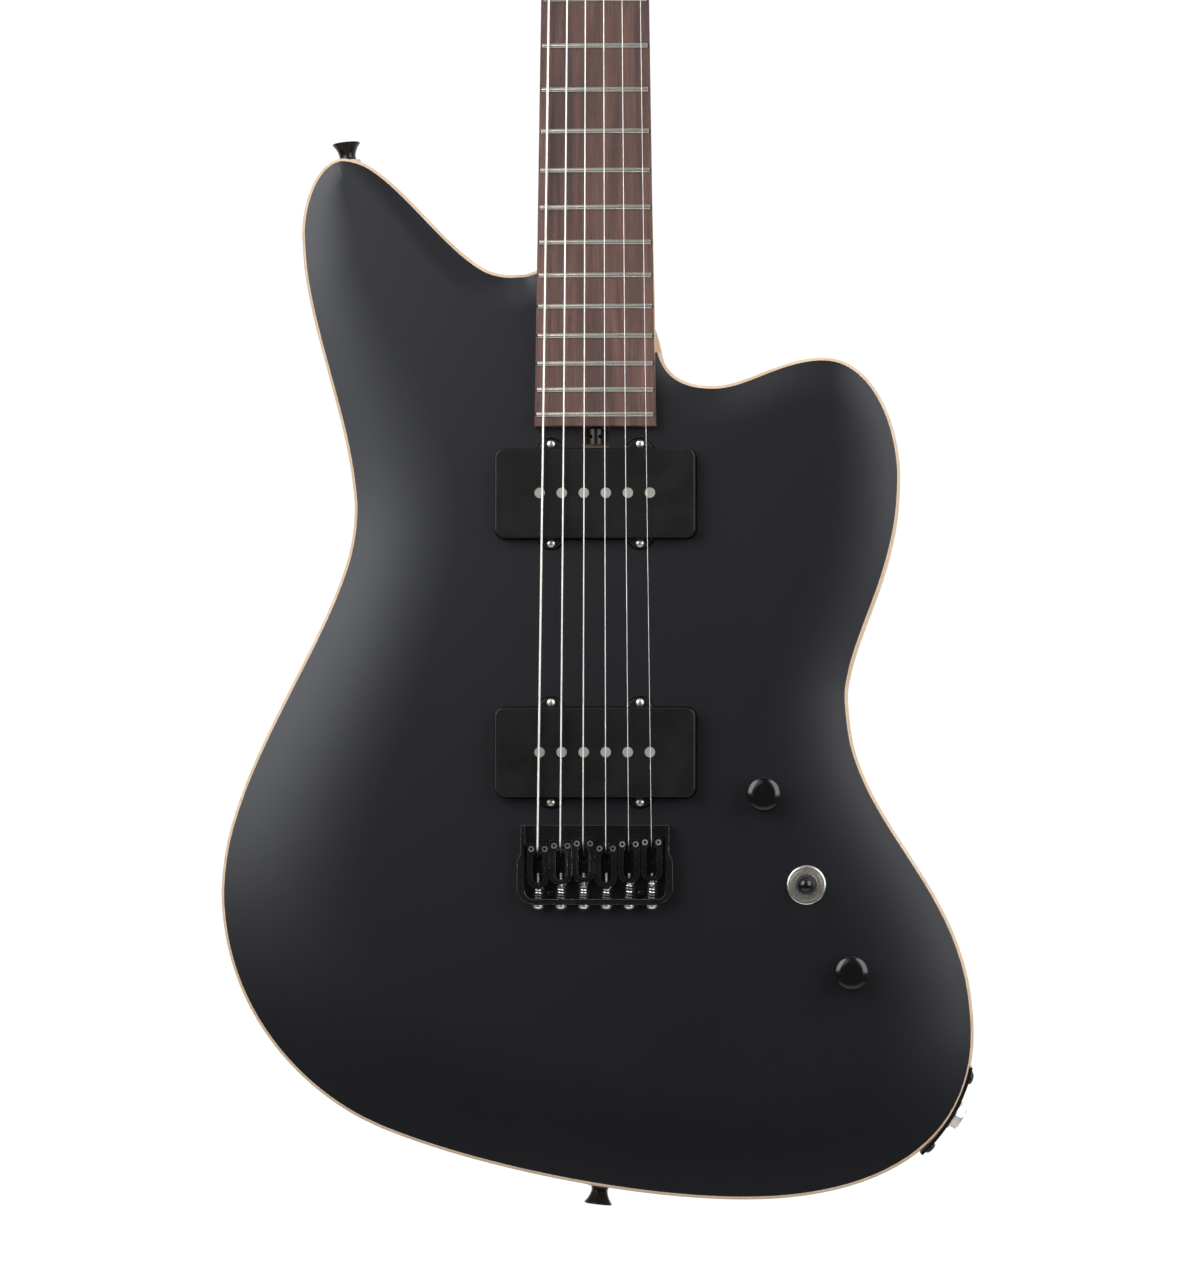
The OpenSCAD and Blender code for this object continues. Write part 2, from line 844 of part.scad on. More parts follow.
// One saddle: a block with a string nub in front, and a rimmed slot that the screw reaches into
module saddle_block(k) {
    top = saddle_top(k);
    radius = string_radius[k - 1];
    translate([bridge_x(k), saddle_y[k - 1], 0])
        difference() {
            union() {
                translate([0, -saddle_length / 2, saddle_bottom])
                    linear_extrude(height = saddle_deck - saddle_bottom)
                        rounded_rectangle(saddle_width, saddle_length, 4);
                translate([-saddle_width / 2, -saddle_length / 2, saddle_bottom])
                    cube([saddle_width, saddle_length / 2, saddle_deck - saddle_bottom]);
                translate([0, slot_y, saddle_bottom])
                    linear_extrude(height = saddle_deck + saddle_rim - saddle_bottom)
                        rounded_rectangle(slot_width + 1.6, slot_length + 1.6, slot_width / 2 + 0.75);
                translate([-1.5, -nub_length, saddle_bottom])
                    cube([3, nub_length, top + 1 - saddle_bottom]);
            }
            translate([0, slot_y, saddle_bottom - through])
                linear_extrude(height = 20)
                    rounded_rectangle(slot_width, slot_length, slot_width / 2 - 0.05);
            translate([-1.1, slot_y, saddle_bottom - through])
                cube([2.2, -slot_y - nub_length, 20]);
            along_y([0, -saddle_length - through, screw_z])
                cylinder(r = screw_radius + gap, h = 6);
            along_y([0, -5, top + radius])
                cylinder(r = radius + gap, h = 6);
            for (x = [-1, 1])
                translate([x * grub_at[0], grub_at[1], saddle_bottom - through])
                    cylinder(r = grub_radius + gap, h = 20);
            translate([-5, -25, top + radius])
                cube([10, 30, 10]);
        }
}

module saddle_grub_screws(k) {
    hex_depth = 1.5;
    top = saddle_deck - 0.4;
    translate([bridge_x(k), saddle_y[k - 1], 0])
        for (x = [-1, 1])
            translate([x * grub_at[0], grub_at[1], tray_floor])
                difference() {
                    cylinder(r = grub_radius, h = top - tray_floor);
                    translate([0, 0, top - tray_floor - hex_depth])
                        cylinder(r = 0.75, h = hex_depth + through, $fn = 6);
                }
}

module saddle(k) {
    color("#19191b")
        difference() {
            saddle_block(k);
            string_channel(k, 2, -1, 6);
        }
    color("#6f6f70")
        saddle_grub_screws(k);
}

module intonation_screw(k) {
    color("#c9c9c6") {
        along_y([bridge_x(k), tray_back - 1, screw_z])
            cylinder(r = screw_radius, h = screw_tip_y - tray_back + 1);
        along_y([bridge_x(k), tray_back - screw_head - seat_gap, screw_z])
            difference() {
                cylinder(r1 = 2, r2 = 2.75, h = screw_head);
                for (a = [0, 90])
                    rotate([0, 0, a])
                        translate([-1.4, -0.3, -1])
                            cube([2.8, 0.6, 1.8]);
            }
    }
}

module saddle_springs() {
    color("#c2c2bf")
        for (k = STRINGS) {
            start = tray_back + tray_wall;
            finish = saddle_y[k - 1] - saddle_length;
            along_y([bridge_x(k), start + seat_gap, screw_z])
                difference() {
                    cylinder(r = spring_outer, h = finish - start - 2 * seat_gap);
                    translate([0, 0, -through])
                        cylinder(r = spring_inner, h = finish - start + 2);
                }
        }
}

// ---- Strings ----
function string_end(k) = [wound_x(k), post_y(k), wound_z];
function string_path(k) = concat(
    [[bridge_x(k), -string_hole_y, back_z + 8], [bridge_x(k), -string_hole_y, tray_floor + 1],
     break_point(k), nut_point(k)],
    k > 4 ? [[string_x(k, tree_y), tree_y, tree_z]] : [],
    [string_end(k)]
);

module guitar_string(k) {
    r = string_radius[k - 1];
    round_line(string_path(k), r);
    translate([bridge_x(k), -string_hole_y, back_z + 6.6])
        cylinder(r = 1.9, h = 2.3);
    translate([post_x(k), post_y(k), wound_z + r])
        mirror([0, 0, 1])
            difference() {
                cylinder(r = post_radius + 2 * wound_gap + 2 * r, h = 6 * r);
                translate([0, 0, -through])
                    cylinder(r = post_radius + gap, h = 6);
            }
}

module strings() {
    color("#b7b7b2")
        for (k = STRINGS)
            guitar_string(k);
}

// ---- Tuners ----
post_top = 6.5;
housing_depth = 9;
housing_size = [17.4, 16.6];
paddle_size = [12, 19, 6.8];
wheel_radius = 4.2;
wheel_height = 4;
worm_radius = 1.8;
button_shaft = 1.6;
button_start = 15.6;
lug_at = [1, -9.4];       // screw of a housing, from its post
lug_height = 1.2;

module tuner_post(k) {
    color("#b4b4b0")
        translate([post_x(k), post_y(k), 0])
            difference() {
                union() {
                    translate([0, 0, head_back - housing_depth + 1.2])
                        cylinder(r = post_radius, h = post_top - head_back + housing_depth - 1.2);
                    translate([0, 0, worm_z - wheel_height / 2])
                        cylinder(r = wheel_radius, h = wheel_height);
                }
                translate([0, 0, 4.4])
                    rotate([0, 90, post_line])
                        cylinder(r = 0.8, h = 10, center = true);
            }
}

module tuner_button(k) {
    color("#1a1a1c")
        at_tuner(k)
            translate([0, worm_offset, worm_z]) {
                translate([-6.2, 0, 0])
                    rotate([0, 90, 0])
                        cylinder(r = worm_radius, h = 12.4);
                rotate([0, 90, 0])
                    cylinder(r = button_shaft, h = button_start + 2);
                translate([button_start, 0, 0])
                    rotate([0, 90, 0])
                        cylinder(r1 = 2.6, r2 = 3.4, h = 3);
                translate([button_start + 8.5, 0, -paddle_size[2] / 2])
                    linear_extrude(height = paddle_size[2])
                        rounded_rectangle(paddle_size[0], paddle_size[1], 5.8);
            }
}

module tuner_housings() {
    color("#1a1a1c")
        for (k = STRINGS)
            at_tuner(k)
                difference() {
                    union() {
                        translate([0, 1.2, head_back - housing_depth])
                            linear_extrude(height = housing_depth)
                                rounded_rectangle(housing_size[0], housing_size[1], 3);
                        translate([lug_at[0], lug_at[1], head_back - lug_height])
                            cylinder(r = 2.6, h = lug_height);
                        translate([lug_at[0] - 2.6, lug_at[1], head_back - lug_height])
                            cube([5.2, 4, lug_height]);
                    }
                    translate([lug_at[0], lug_at[1], head_back - 5])
                        cylinder(r = 0.85, h = 10);
                    translate([0, 0, worm_z - wheel_height / 2 - 0.3])
                        cylinder(r = wheel_radius + 0.3, h = wheel_height + 0.6);
                    translate([-6.5, worm_offset, worm_z])
                        rotate([0, 90, 0])
                            cylinder(r = worm_radius + 0.2, h = 13);
                    translate([0, worm_offset, worm_z])
                        rotate([0, 90, 0])
                            cylinder(r = button_shaft + gap, h = 12);
                    translate([0, 0, head_back - housing_depth + 1])
                        cylinder(r = post_radius + gap, h = 20);
                }
}

module tuner_bushings() {
    color("#1d1d1f")
        for (k = STRINGS)
            translate([post_x(k), post_y(k), 0])
                difference() {
                    union() {
                        translate([0, 0, head_back + 1])
                            cylinder(r = 5 - seat_gap, h = head_thickness - 1);
                        translate([0, 0, head_face])
                            cylinder(r = 6.3, h = 0.7);
                        translate([0, 0, head_face])
                            cylinder(r = 5.6, h = 2.2, $fn = 6);
                    }
                    translate([0, 0, head_back])
                        cylinder(r = post_radius + gap, h = 30);
                }
}

module string_tree() {
    bar_z = tree_z + string_radius[4] + 1.55;
    color("#1d1d1f")
        translate([tree_x, tree_y, 0])
            difference() {
                union() {
                    translate([0, 0, head_face])
                        cylinder(r = 1.9, h = bar_z - head_face);
                    translate([-6, 0, bar_z])
                        rotate([0, 90, 0])
                            cylinder(r = 1.5, h = 12);
                }
                translate([0, 0, head_face - through])
                    cylinder(r = 0.9, h = 5);
            }
}

// ---- Controls ----
knob_bottom = 1;
knob_grip = 8;            // depth of a knob's hold on its shaft
knob_recess = [6.7, 2.6]; // radius and depth of the hollow over the pot's nut
knob_edge = 2.4;          // radius of the round edge of a knob's top

module knob() {
    r = knob_diameter / 2;
    round_at = knob_bottom + knob_height - 3.2;
    color("#111113")
        difference() {
            rotate_extrude()
                polygon(concat(
                    [[0, knob_bottom], [r - 0.4, knob_bottom], [r, knob_bottom + 0.4]],
                    [for (a = [0:15:75]) [r - knob_edge + knob_edge * cos(a), round_at + 2.9 * sin(a)]],
                    [[0, knob_bottom + knob_height]]
                ));
            translate([0, 0, knob_bottom - through])
                cylinder(r = knob_recess[0], h = knob_recess[1] + through);
            cylinder(r = shaft_radius, h = knob_bottom + knob_recess[1] + knob_grip);
        }
}

module pot_shaft() {
    color("#c9c9c6")
        translate([0, 0, -13.4])
            cylinder(r = shaft_radius, h = 13.4 + knob_bottom + knob_recess[1] + knob_grip - seat_gap);
}

module volume_knob() {
    translate([volume_at[0], volume_at[1], 0])
        knob();
}

module tone_knob() {
    translate([tone_at[0], tone_at[1], 0])
        knob();
}

module volume_pot_shaft() {
    translate([volume_at[0], volume_at[1], 0])
        pot_shaft();
}

module tone_pot_shaft() {
    translate([tone_at[0], tone_at[1], 0])
        pot_shaft();
}

module potentiometers() {
    can_top = cavity_ceiling - 0.5;
    color("#a9a9a4")
        pot_places() {
            difference() {
                union() {
                    translate([0, 0, can_top - 9])
                        cylinder(r = pot_radius, h = 9);
                    translate([-6, -pot_radius - 5, can_top - 3])
                        cube([12, 8, 1.2]);
                    translate([0, 0, can_top])
                        cylinder(r = bushing_radius, h = 2.6 - can_top);
                }
                translate([0, 0, -13.5])
                    cylinder(r = shaft_radius + gap, h = 30);
            }
            bushing_nut(0, 6.3, 2.2);
        }
}

// Hexagon nut for a pot or jack bushing, corner radius r
module bushing_nut(z, r, h) {
    difference() {
        translate([0, 0, z])
            cylinder(r = r, h = h, $fn = 6);
        translate([0, 0, z - through])
            cylinder(r = bushing_radius + seat_gap, h = h + 2);
    }
}

toggle_tip_z = 11;

module toggle_lever() {
    color("#c9c9c6")
        translate([toggle_at[0], toggle_at[1], 0]) {
            translate([0, 0, toggle_pivot_z])
                sphere(r = 2.2);
            translate([0, 0, toggle_pivot_z - 4])
                cylinder(r = 1.2, h = 4);
            translate([0, 0, toggle_pivot_z])
                cylinder(r = 1.5, h = toggle_tip_z + 6 - toggle_pivot_z);
        }
}

module toggle_tip() {
    color("#0e0e10")
        translate([toggle_at[0], toggle_at[1], toggle_tip_z])
            difference() {
                rotate_extrude()
                    polygon(concat(
                        [[0, 0], [2.6, 0], [2.9, 2], [3.65, 7]],
                        [for (a = [0:15:75]) [3.65 * cos(a), 7 + 2.8 * sin(a)]],
                        [[0, 9.8]]
                    ));
                translate([0, 0, -through])
                    cylinder(r = 1.5, h = 7 + seat_gap);
            }
}

module toggle_switch_body() {
    color("#7f8488")
        translate([toggle_at[0], toggle_at[1], 0])
            difference() {
                union() {
                    translate([-8, -12, cavity_ceiling - 16.5])
                        cube([16, 24, 16]);
                    translate([0, 0, cavity_ceiling - 1])
                        cylinder(r = 4.5, h = 4 - cavity_ceiling);
                }
                translate([0, 0, cavity_ceiling - 5])
                    cylinder(r = 3.1, h = 20);
            }
}

module toggle_ring() {
    color("#c9c9c6")
        translate([toggle_at[0], toggle_at[1], 0]) {
            difference() {
                cylinder(r = 9.1, h = 1.1);
                translate([0, 0, -through])
                    cylinder(r = 4.6, h = 4);
            }
            difference() {
                translate([0, 0, 1.1 + seat_gap])
                    cylinder(r = 5.4, h = 1.8);
                cylinder(r = 4.5 + seat_gap, h = 4);
            }
        }
}

// ---- Output jack ----
module jack_plate() {
    color("#151517")
        difference() {
            translate([jack_arc_centre[0], jack_arc_centre[1], side_z - 17])
                rotate([0, 0, jack_heading - jack_plate_half])
                    rotate_extrude(angle = 2 * jack_plate_half)
                        translate([jack_arc_radius + seat_gap, 0])
                            square([jack_plate_thickness, 34]);
            at_jack()
                translate([0, 0, -5])
                    cylinder(r = bushing_radius + 0.1, h = 12);
            at_jack_screws()
                translate([0, 0, -5])
                    cylinder(r = 1.6, h = 12);
        }
}

jack_depth = 14;          // length of the threaded barrel behind the plate
jack_leaf_at = 8;         // distance of the contact leaf from the barrel's axis

module jack_socket() {
    nut_at = jack_plate_thickness + 0.2;
    color("#c4c4c0")
        at_jack() {
            difference() {
                union() {
                    translate([0, 0, -jack_depth])
                        cylinder(r = bushing_radius, h = jack_depth + nut_at + 4.2);
                    translate([0, 0, -3])
                        cylinder(r = 8, h = 2.4);
                    translate([-5, -9, -jack_depth])
                        cube([10, 15, 1.6]);
                }
                translate([0, 0, -jack_depth - through])
                    cylinder(r = jack_bore, h = 40);
            }
            difference() {
                translate([0, 0, nut_at])
                    cylinder(r = 7, h = 0.6);
                cylinder(r = bushing_radius + seat_gap, h = 10);
            }
            bushing_nut(nut_at + 0.6 + seat_gap, 6.5, 3);
        }
}

module jack_tip_spring() {
    color("#b8a45c")
        at_jack()
            difference() {
                union() {
                    translate([-2, -jack_leaf_at, -jack_depth - 14])
                        cube([4, 0.6, 13.6]);
                    translate([-2, -jack_leaf_at, -jack_depth - 14])
                        cube([4, 5.6, 0.6]);
                    translate([-2, -jack_leaf_at + 5.6, -jack_depth - 13.7])
                        rotate([0, 90, 0])
                            cylinder(r = 0.9, h = 4);
                }
                translate([0, -jack_leaf_at - through, -jack_depth - 2.5])
                    rotate([-90, 0, 0])
                        cylinder(r = 0.8, h = 4);
            }
}

// ---- Strap buttons ----
module strap_buttons() {
    at_strap_buttons() {
        color("#bfb8a8")
            difference() {
                cylinder(r = 5.95, h = 1.5);
                translate([0, 0, -through])
                    cylinder(r = 2.2, h = 4);
            }
        color("#0f0f11")
            difference() {
                translate([0, 0, 1.5 + seat_gap])
                    rotate_extrude()
                        polygon([
                            [0, 0], [4.6, 0], [4.6, 0.6], [3.5, 1.6], [3.2, 3], [3.5, 4.4],
                            [4.9, 6.2], [6.3, 7.2], [6.45, 7.9], [6.1, 8.4], [0, 8.4],
                        ]);
                translate([0, 0, -through])
                    cylinder(r = 2.2, h = 20);
                translate([0, 0, 7.1])
                    cylinder(r1 = 2.2, r2 = 4.2, h = 2.9);
            }
    }
}

// ---- Rear cover ----
module control_cover() {
    color("#1b1b1d")
        translate([0, 0, back_z])
            difference() {
                linear_extrude(height = cover_thickness)
                    cavity_shape(cover_rim);
                translate([0, 0, -back_z])
                    at_cover_screws() {
                        translate([0, 0, -through])
                            cylinder(r = 1.4, h = 5);
                        translate([0, 0, -0.01])
                            cylinder(r1 = 2.9, r2 = 1.4, h = 1.5);
                    }
            }
}

// ---- Screws: a cross-slotted head on a plain shank, head outwards along +Z ----
module cross_slots(size, depth) {
    for (a = [0, 90])
        rotate([0, 0, a])
            translate([-size / 2, -size / 12, -depth])
                cube([size, size / 6, depth + 2]);
}

module pan_screw(head, height, shank, length) {
    difference() {
        union() {
            cylinder(r1 = head, r2 = head * 0.72, h = height);
            translate([0, 0, -length])
                cylinder(r = shank, h = length + 0.1);
        }
        translate([0, 0, height])
            cross_slots(head * 1.1, height * 0.6);
    }
}

module flush_screw(head, height, shank, length) {
    difference() {
        union() {
            translate([0, 0, -height])
                cylinder(r1 = shank, r2 = head, h = height);
            translate([0, 0, -length])
                cylinder(r = shank, h = length - height + 0.1);
        }
        cross_slots(head * 1.1, height * 0.6);
    }
}

module mounting_screws() {
    color("#1a1a1c") {
        at_jack_screws()
            translate([0, 0, seat_gap])
                pan_screw(2.9, 1.5, 1.15, 18);
        at_cover_screws()
            rotate([180, 0, 0])
                flush_screw(2.8, 1.4, 1.05, 13);
        at_tray_screws()
            pan_screw(2.2, 1, 1.25, 20);
        at_neck_screws()
            rotate([180, 0, 0])
                translate([0, 0, -0.9])
                    flush_screw(4.5, 2.4, 1.65, 40);
        at_strap_buttons()
            translate([0, 0, 9.9])
                flush_screw(4.1, 2.8, 1.55, 33);
        for (k = STRINGS)
            at_tuner(k)
                translate([lug_at[0], lug_at[1], head_back - lug_height])
                    rotate([180, 0, 0])
                        pan_screw(1.9, 1.1, 0.75, 8);
        translate([tree_x, tree_y, head_face])
            translate([0, 0, -7])
                cylinder(r = 0.85, h = 10.9);
    }
}

// ---- Wiring, inside the cavities ----
module wiring() {
    lead = 1.1;
    floor_z = -14.6;
    inner = at_side([-54, 0]);
    color("#2b2b2b") {
        round_line([
            [30, neck_pickup_y - 8, floor_z], [30, neck_pickup_y - 20, -12],
            [30, bridge_pickup_y + 20, -12], [31, bridge_pickup_y + 10, floor_z],
        ], lead);
        round_line([
            [34, bridge_pickup_y + 4, floor_z], [38, bridge_pickup_y - 8, -12],
            [64, bridge_pickup_y - 8, -12], [64, 22, -24], [66, 4, -26],
        ], lead);
        round_line([
            [84, -2, -27], [90, -44, -29], [104, -76, -27], [inner[0], inner[1], side_z],
        ], lead);
    }
}

// Point on the jack's axis, at a depth and a shift to its side
function at_side(s) =
    jack_arc_centre + (jack_arc_radius + s[0]) * heading(jack_heading) + s[1] * heading(jack_heading + 90);

upright() {
    body();
    neck();
    fingerboard();
    frets();
    nut();
    truss_rod();
    truss_rod_nut();
    body_ferrules();
    neck_pickup_cover();
    bridge_pickup_cover();
    pickup_pole_magnets();
    pickup_bobbins();
    pickup_coils();
    pickup_screws();
    bridge_plate();
    saddle_springs();
    strings();
    tuner_housings();
    tuner_bushings();
    string_tree();
    volume_knob();
    tone_knob();
    volume_pot_shaft();
    tone_pot_shaft();
    potentiometers();
    toggle_lever();
    toggle_tip();
    toggle_switch_body();
    toggle_ring();
    jack_plate();
    jack_socket();
    jack_tip_spring();
    strap_buttons();
    control_cover();
    mounting_screws();
    wiring();
    for (k = STRINGS) {
        saddle(k);
        intonation_screw(k);
        tuner_post(k);
        tuner_button(k);
    }
}
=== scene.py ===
"""Looks of the electric guitar: fine meshes, materials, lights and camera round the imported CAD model."""
import math

import bpy
import numpy as np
from mathutils import Matrix, Vector


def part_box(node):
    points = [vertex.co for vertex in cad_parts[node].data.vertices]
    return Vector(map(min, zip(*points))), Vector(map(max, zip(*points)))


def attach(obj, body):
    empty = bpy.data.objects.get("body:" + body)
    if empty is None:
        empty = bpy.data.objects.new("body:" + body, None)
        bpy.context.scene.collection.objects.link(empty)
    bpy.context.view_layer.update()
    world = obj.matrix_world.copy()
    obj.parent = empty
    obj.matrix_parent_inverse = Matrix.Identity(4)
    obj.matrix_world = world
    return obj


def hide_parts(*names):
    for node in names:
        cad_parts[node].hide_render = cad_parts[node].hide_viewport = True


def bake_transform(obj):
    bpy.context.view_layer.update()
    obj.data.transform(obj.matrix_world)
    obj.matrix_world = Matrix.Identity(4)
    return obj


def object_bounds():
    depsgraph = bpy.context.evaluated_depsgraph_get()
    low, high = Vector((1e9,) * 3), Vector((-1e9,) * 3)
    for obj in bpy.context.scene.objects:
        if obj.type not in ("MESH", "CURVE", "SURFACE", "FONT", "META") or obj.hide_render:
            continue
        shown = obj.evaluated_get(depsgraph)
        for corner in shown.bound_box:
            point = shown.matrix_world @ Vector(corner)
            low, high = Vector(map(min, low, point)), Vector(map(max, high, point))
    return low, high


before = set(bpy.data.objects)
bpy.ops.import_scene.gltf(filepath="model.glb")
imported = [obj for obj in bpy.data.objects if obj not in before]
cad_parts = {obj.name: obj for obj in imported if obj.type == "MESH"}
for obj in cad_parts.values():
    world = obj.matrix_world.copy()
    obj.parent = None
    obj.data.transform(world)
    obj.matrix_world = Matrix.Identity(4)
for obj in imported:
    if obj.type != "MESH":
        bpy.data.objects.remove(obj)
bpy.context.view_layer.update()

ROOT = "guitar"

# ---- Sizes, in millimetres: X to the treble side, Y up the neck from the bridge line, Z out of the face ----
MM = 0.001
SCALE_LENGTH = 648.0
HANGER_Y = SCALE_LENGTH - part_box("nut")[0].z / MM
FRET_COUNT = 21
DOTTED_FRETS = (3, 5, 7, 9, 12, 15, 17, 19, 21)
BRIDGE_SPREAD = 52.5
NUT_SPREAD = 35.5
BACK_Z = -43.0
EDGE_ROUND = 2.0
BACK_ROUND = 3.0
RIM_SLOPE = 0.11
SIDE_Z = -23.0
BOARD_TOP = 9.0
BOARD_BOTTOM = 3.0
BOARD_RADIUS = 305.0
POCKET_FLOOR = -16.0
NUT_END = SCALE_LENGTH + 4
HEAD_TIP = 836.0
HEAD_FACE = -3.5
HEAD_BACK = -18.0
COVER_LENGTH = 93.0
COVER_WIDTH = 41.7
NECK_PICKUP_Y = 156.3
BRIDGE_PICKUP_Y = 36.5
PICKUPS_Y = (NECK_PICKUP_Y, BRIDGE_PICKUP_Y)
STRING_HOLE_Y = 13.0
STRINGS = range(1, 7)
STRING_RADIUS = [0.584, 0.457, 0.33, 0.216, 0.165, 0.127]
SADDLE_Y = [-5.5, -4, -3, -5.3, -3.3, -2.4]
SADDLE_LENGTH = 20.3
NUB_LENGTH = 2.5
STRING_HEIGHT = 14.0
NUT_SLOT_Z = 10.4
TRAY_FLOOR = 2.0
TRAY_BACK = -33.6
TRAY_WALL = 2.3
SCREW_Z = 6.0
VOLUME_AT = (78.0, 17.3)
TOGGLE_AT = (97.4, -24.7)
TONE_AT = (118.3, -64.9)
CAVITY_END = (128.0, -90.0)
CAVITY_SIZE = (160.0, 44.0)
CAVITY_CORNER = 18.0
COVER_RIM = 6.0
JACK_CENTRE = (98.3, -92.3)
JACK_RADIUS = 75.8
JACK_HEADING = -30.0
JACK_PLATE = 1.7
STRAP_BUTTONS = [(1.2, -163.2, -96.6), (-117, 312.6, 96)]  # x, y, heading
NECK_SCREWS = [(x, y) for x in (-17, 17) for y in (203, 238)]
TRAY_SCREWS = [(x, y) for x in (-21, 21) for y in (-17, -28.6)]
PICKUP_SEAT = -3.0
EAR_TOP = 2.5
EAR_RADIUS = 6.2
ROUT_GAP = 0.5
WOUND_Z = 2.2
TREE_Y = 725.0
TREE_Z = 1.2
LEAD = 1.6
FRET_OVERHANG = 5.4         # fingerboard past the last fret
HEEL_END = 222.0            # the neck pocket's side on the treble cutaway
POST_RADIUS = 3.15
EAR_AT = (20.6, 19.4)       # pickup ears from the middle of their cover
PICKUP_SCREW_AT = (20.6, 22.95)
COVER_CORNER = 4.4
GRUB_AT = (3.1, -2.6)       # height screws from the middle of a saddle's front edge
GRUB_RADIUS = 1.365
GRUB_SOCKET = 0.76
JACK_SCREW_AT = (13.8, 12.5)  # degrees along the plate's curve, height from its middle
STRAP_HEIGHT = 9.9
TUNER_SCREW_AT = (1.0, -9.4)

# ---- Fineness of the meshes ----
BODY_STEPS = 8
FINER = 3
EDGE_STEPS = 5
RIM_RINGS = 14
HEAD_STEPS = 24
SECTION_POINTS = 28
PAINTED = 1                 # material slot of the paint on the body and the headstock

# ---- Studio, in metres and degrees ----
FRONT_LIGHT = 0.11
BACK_LIGHT = 1.05
LIGHT_RISE = 0.45           # how far the bright side of the surroundings leans upwards
LIGHT_SPAN = (-0.25, 0.35)  # from the front light to the back light
LIGHT_DISTANCE = 1.3
FLOOR_DROP = 1.0
FLOOR_REACH = 1.5
FLOOR_GREY = 0.7
SOFTBOXES = [
    # name, turn, rise, power, size
    ("softbox_left", -42, 22, 13.8, (0.9, 1.1)),
    ("softbox_right", 45, 18, 13.5, (0.9, 1.2)),
    ("softbox_high", -20, 22, 1.8, (0.7, 0.7)),
]
VIEW_MIDDLE = (0.002, 0.0, -0.5717)
VIEW_DISTANCE = 3.0
VIEW_TURN = 2.5
VIEW_RISE = -2.0
LENS = 184.6

# ---- Outlines ----
# Face, clockwise: x, y, heading, handle before, handle after, rim width
FACE_ANCHORS = [
    (27.5, 224.5, -81, 18, 12, 10),
    (54.5, 204.5, 0, 18, 16, 18),
    (105.5, 217.5, 0, 20, 20, 17),
    (139, 163, -90, 28, 45, 36),
    (114.5, 61, -90, 28, 59, 42),
    (172.5, -92.5, -90, 69, 52, 50),
    (68.5, -168, 180, 60, 59, 50),
    (-102.5, -134, 156, 39, 36, 58),
    (-172.5, -27, 90, 55, 58, 66),
    (-110.5, 147, 90, 47, 42, 48),
    (-135, 278, 90, 41, 15, 23),
    (-117, 311, 0, 11, 22, 7),
    (-42.5, 256.5, 0, 23, 19, 16),
    (-7, 264, 13, 33, 15, 10),
]

# Headstock, clockwise from the bass side of the nut: x, y, heading, handle before, handle after
HEAD_ANCHORS = [
    (-21.3, 664, 104, 2, 10),
    (-32.5, 692, 76, 12, 40),
    (0, 820, 76, 40, 12),
    (14, 836, 0, 8, 8),
    (27, 820, -96, 10, 50),
    (20.6, 664, -98, 50, 2),
]


def fret_y(number):
    return SCALE_LENGTH / 2 ** (number / 12)


BOARD_END = fret_y(FRET_COUNT) - FRET_OVERHANG


def neck_half(y):
    """Half the neck's width at y."""
    return 21 + 7 * (SCALE_LENGTH - y) / (SCALE_LENGTH - BOARD_END)


def string_share(k):
    """Place of string k across the neck, from -0.5 at the bass side to 0.5."""
    return (k - 3.5) / 5


def bridge_x(k):
    return BRIDGE_SPREAD * string_share(k)


def nut_x(k):
    return NUT_SPREAD * string_share(k)


def string_x(k, y):
    return bridge_x(k) + (nut_x(k) - bridge_x(k)) * y / SCALE_LENGTH


def crown(x):
    """Fall of the fingerboard's curve at x."""
    return x * x / (2 * BOARD_RADIUS)


def post_y(k):
    return SCALE_LENGTH + 38 + 26 * (k - 1)


def post_x(k):
    return string_x(k, post_y(k)) - POST_RADIUS - STRING_RADIUS[k - 1]


POST_LINE = math.degrees(math.atan2(post_y(6) - post_y(1), post_x(6) - post_x(1)))


# ---- Points and meshes ----
def direction(heading):
    """Unit vector at a heading in degrees."""
    return np.array([math.cos(math.radians(heading)), math.sin(math.radians(heading))])


def eased(t):
    """0 to 1 with a level start and end."""
    return t * t * (3 - 2 * t)


def curve_point(p, q, t):
    """Point of the Bezier curve from anchor p to anchor q."""
    a, d = np.array(p[:2], float), np.array(q[:2], float)
    b, c = a + p[4] * direction(p[2]), d - q[3] * direction(q[2])
    u = 1 - t
    return u ** 3 * a + 3 * u * u * t * b + 3 * u * t * t * c + t ** 3 * d


def closed_curve(anchors, steps):
    pairs = zip(anchors, anchors[1:] + anchors[:1])
    return np.array([curve_point(p, q, j / steps) for p, q in pairs for j in range(steps)])


def left_normals(points):
    """Unit normals left of the way along: out of a clockwise outline, into a counterclockwise one."""
    tangent = np.roll(points, -1, 0) - np.roll(points, 1, 0)
    normal = np.c_[-tangent[:, 1], tangent[:, 0]]
    return normal / np.linalg.norm(normal, axis=1)[:, None]


def rounded_rectangle(width, height, radius, centre, heading=0.0, steps=8):
    """Counterclockwise outline."""
    points = []
    for quarter, (sx, sy) in enumerate([(1, 1), (-1, 1), (-1, -1), (1, -1)]):
        for j in range(steps + 1):
            a = math.radians(90 * quarter + 90 * j / steps)
            points.append((sx * (width / 2 - radius) + radius * math.cos(a),
                           sy * (height / 2 - radius) + radius * math.sin(a)))
    c, s = direction(heading)
    return [(centre[0] + c * x - s * y, centre[1] + s * x + c * y) for x, y in points]


def circle(radius, steps=48, centre=(0, 0)):
    turns = [2 * math.pi * j / steps for j in range(steps)]
    return [(centre[0] + radius * math.cos(a), centre[1] + radius * math.sin(a)) for a in turns]


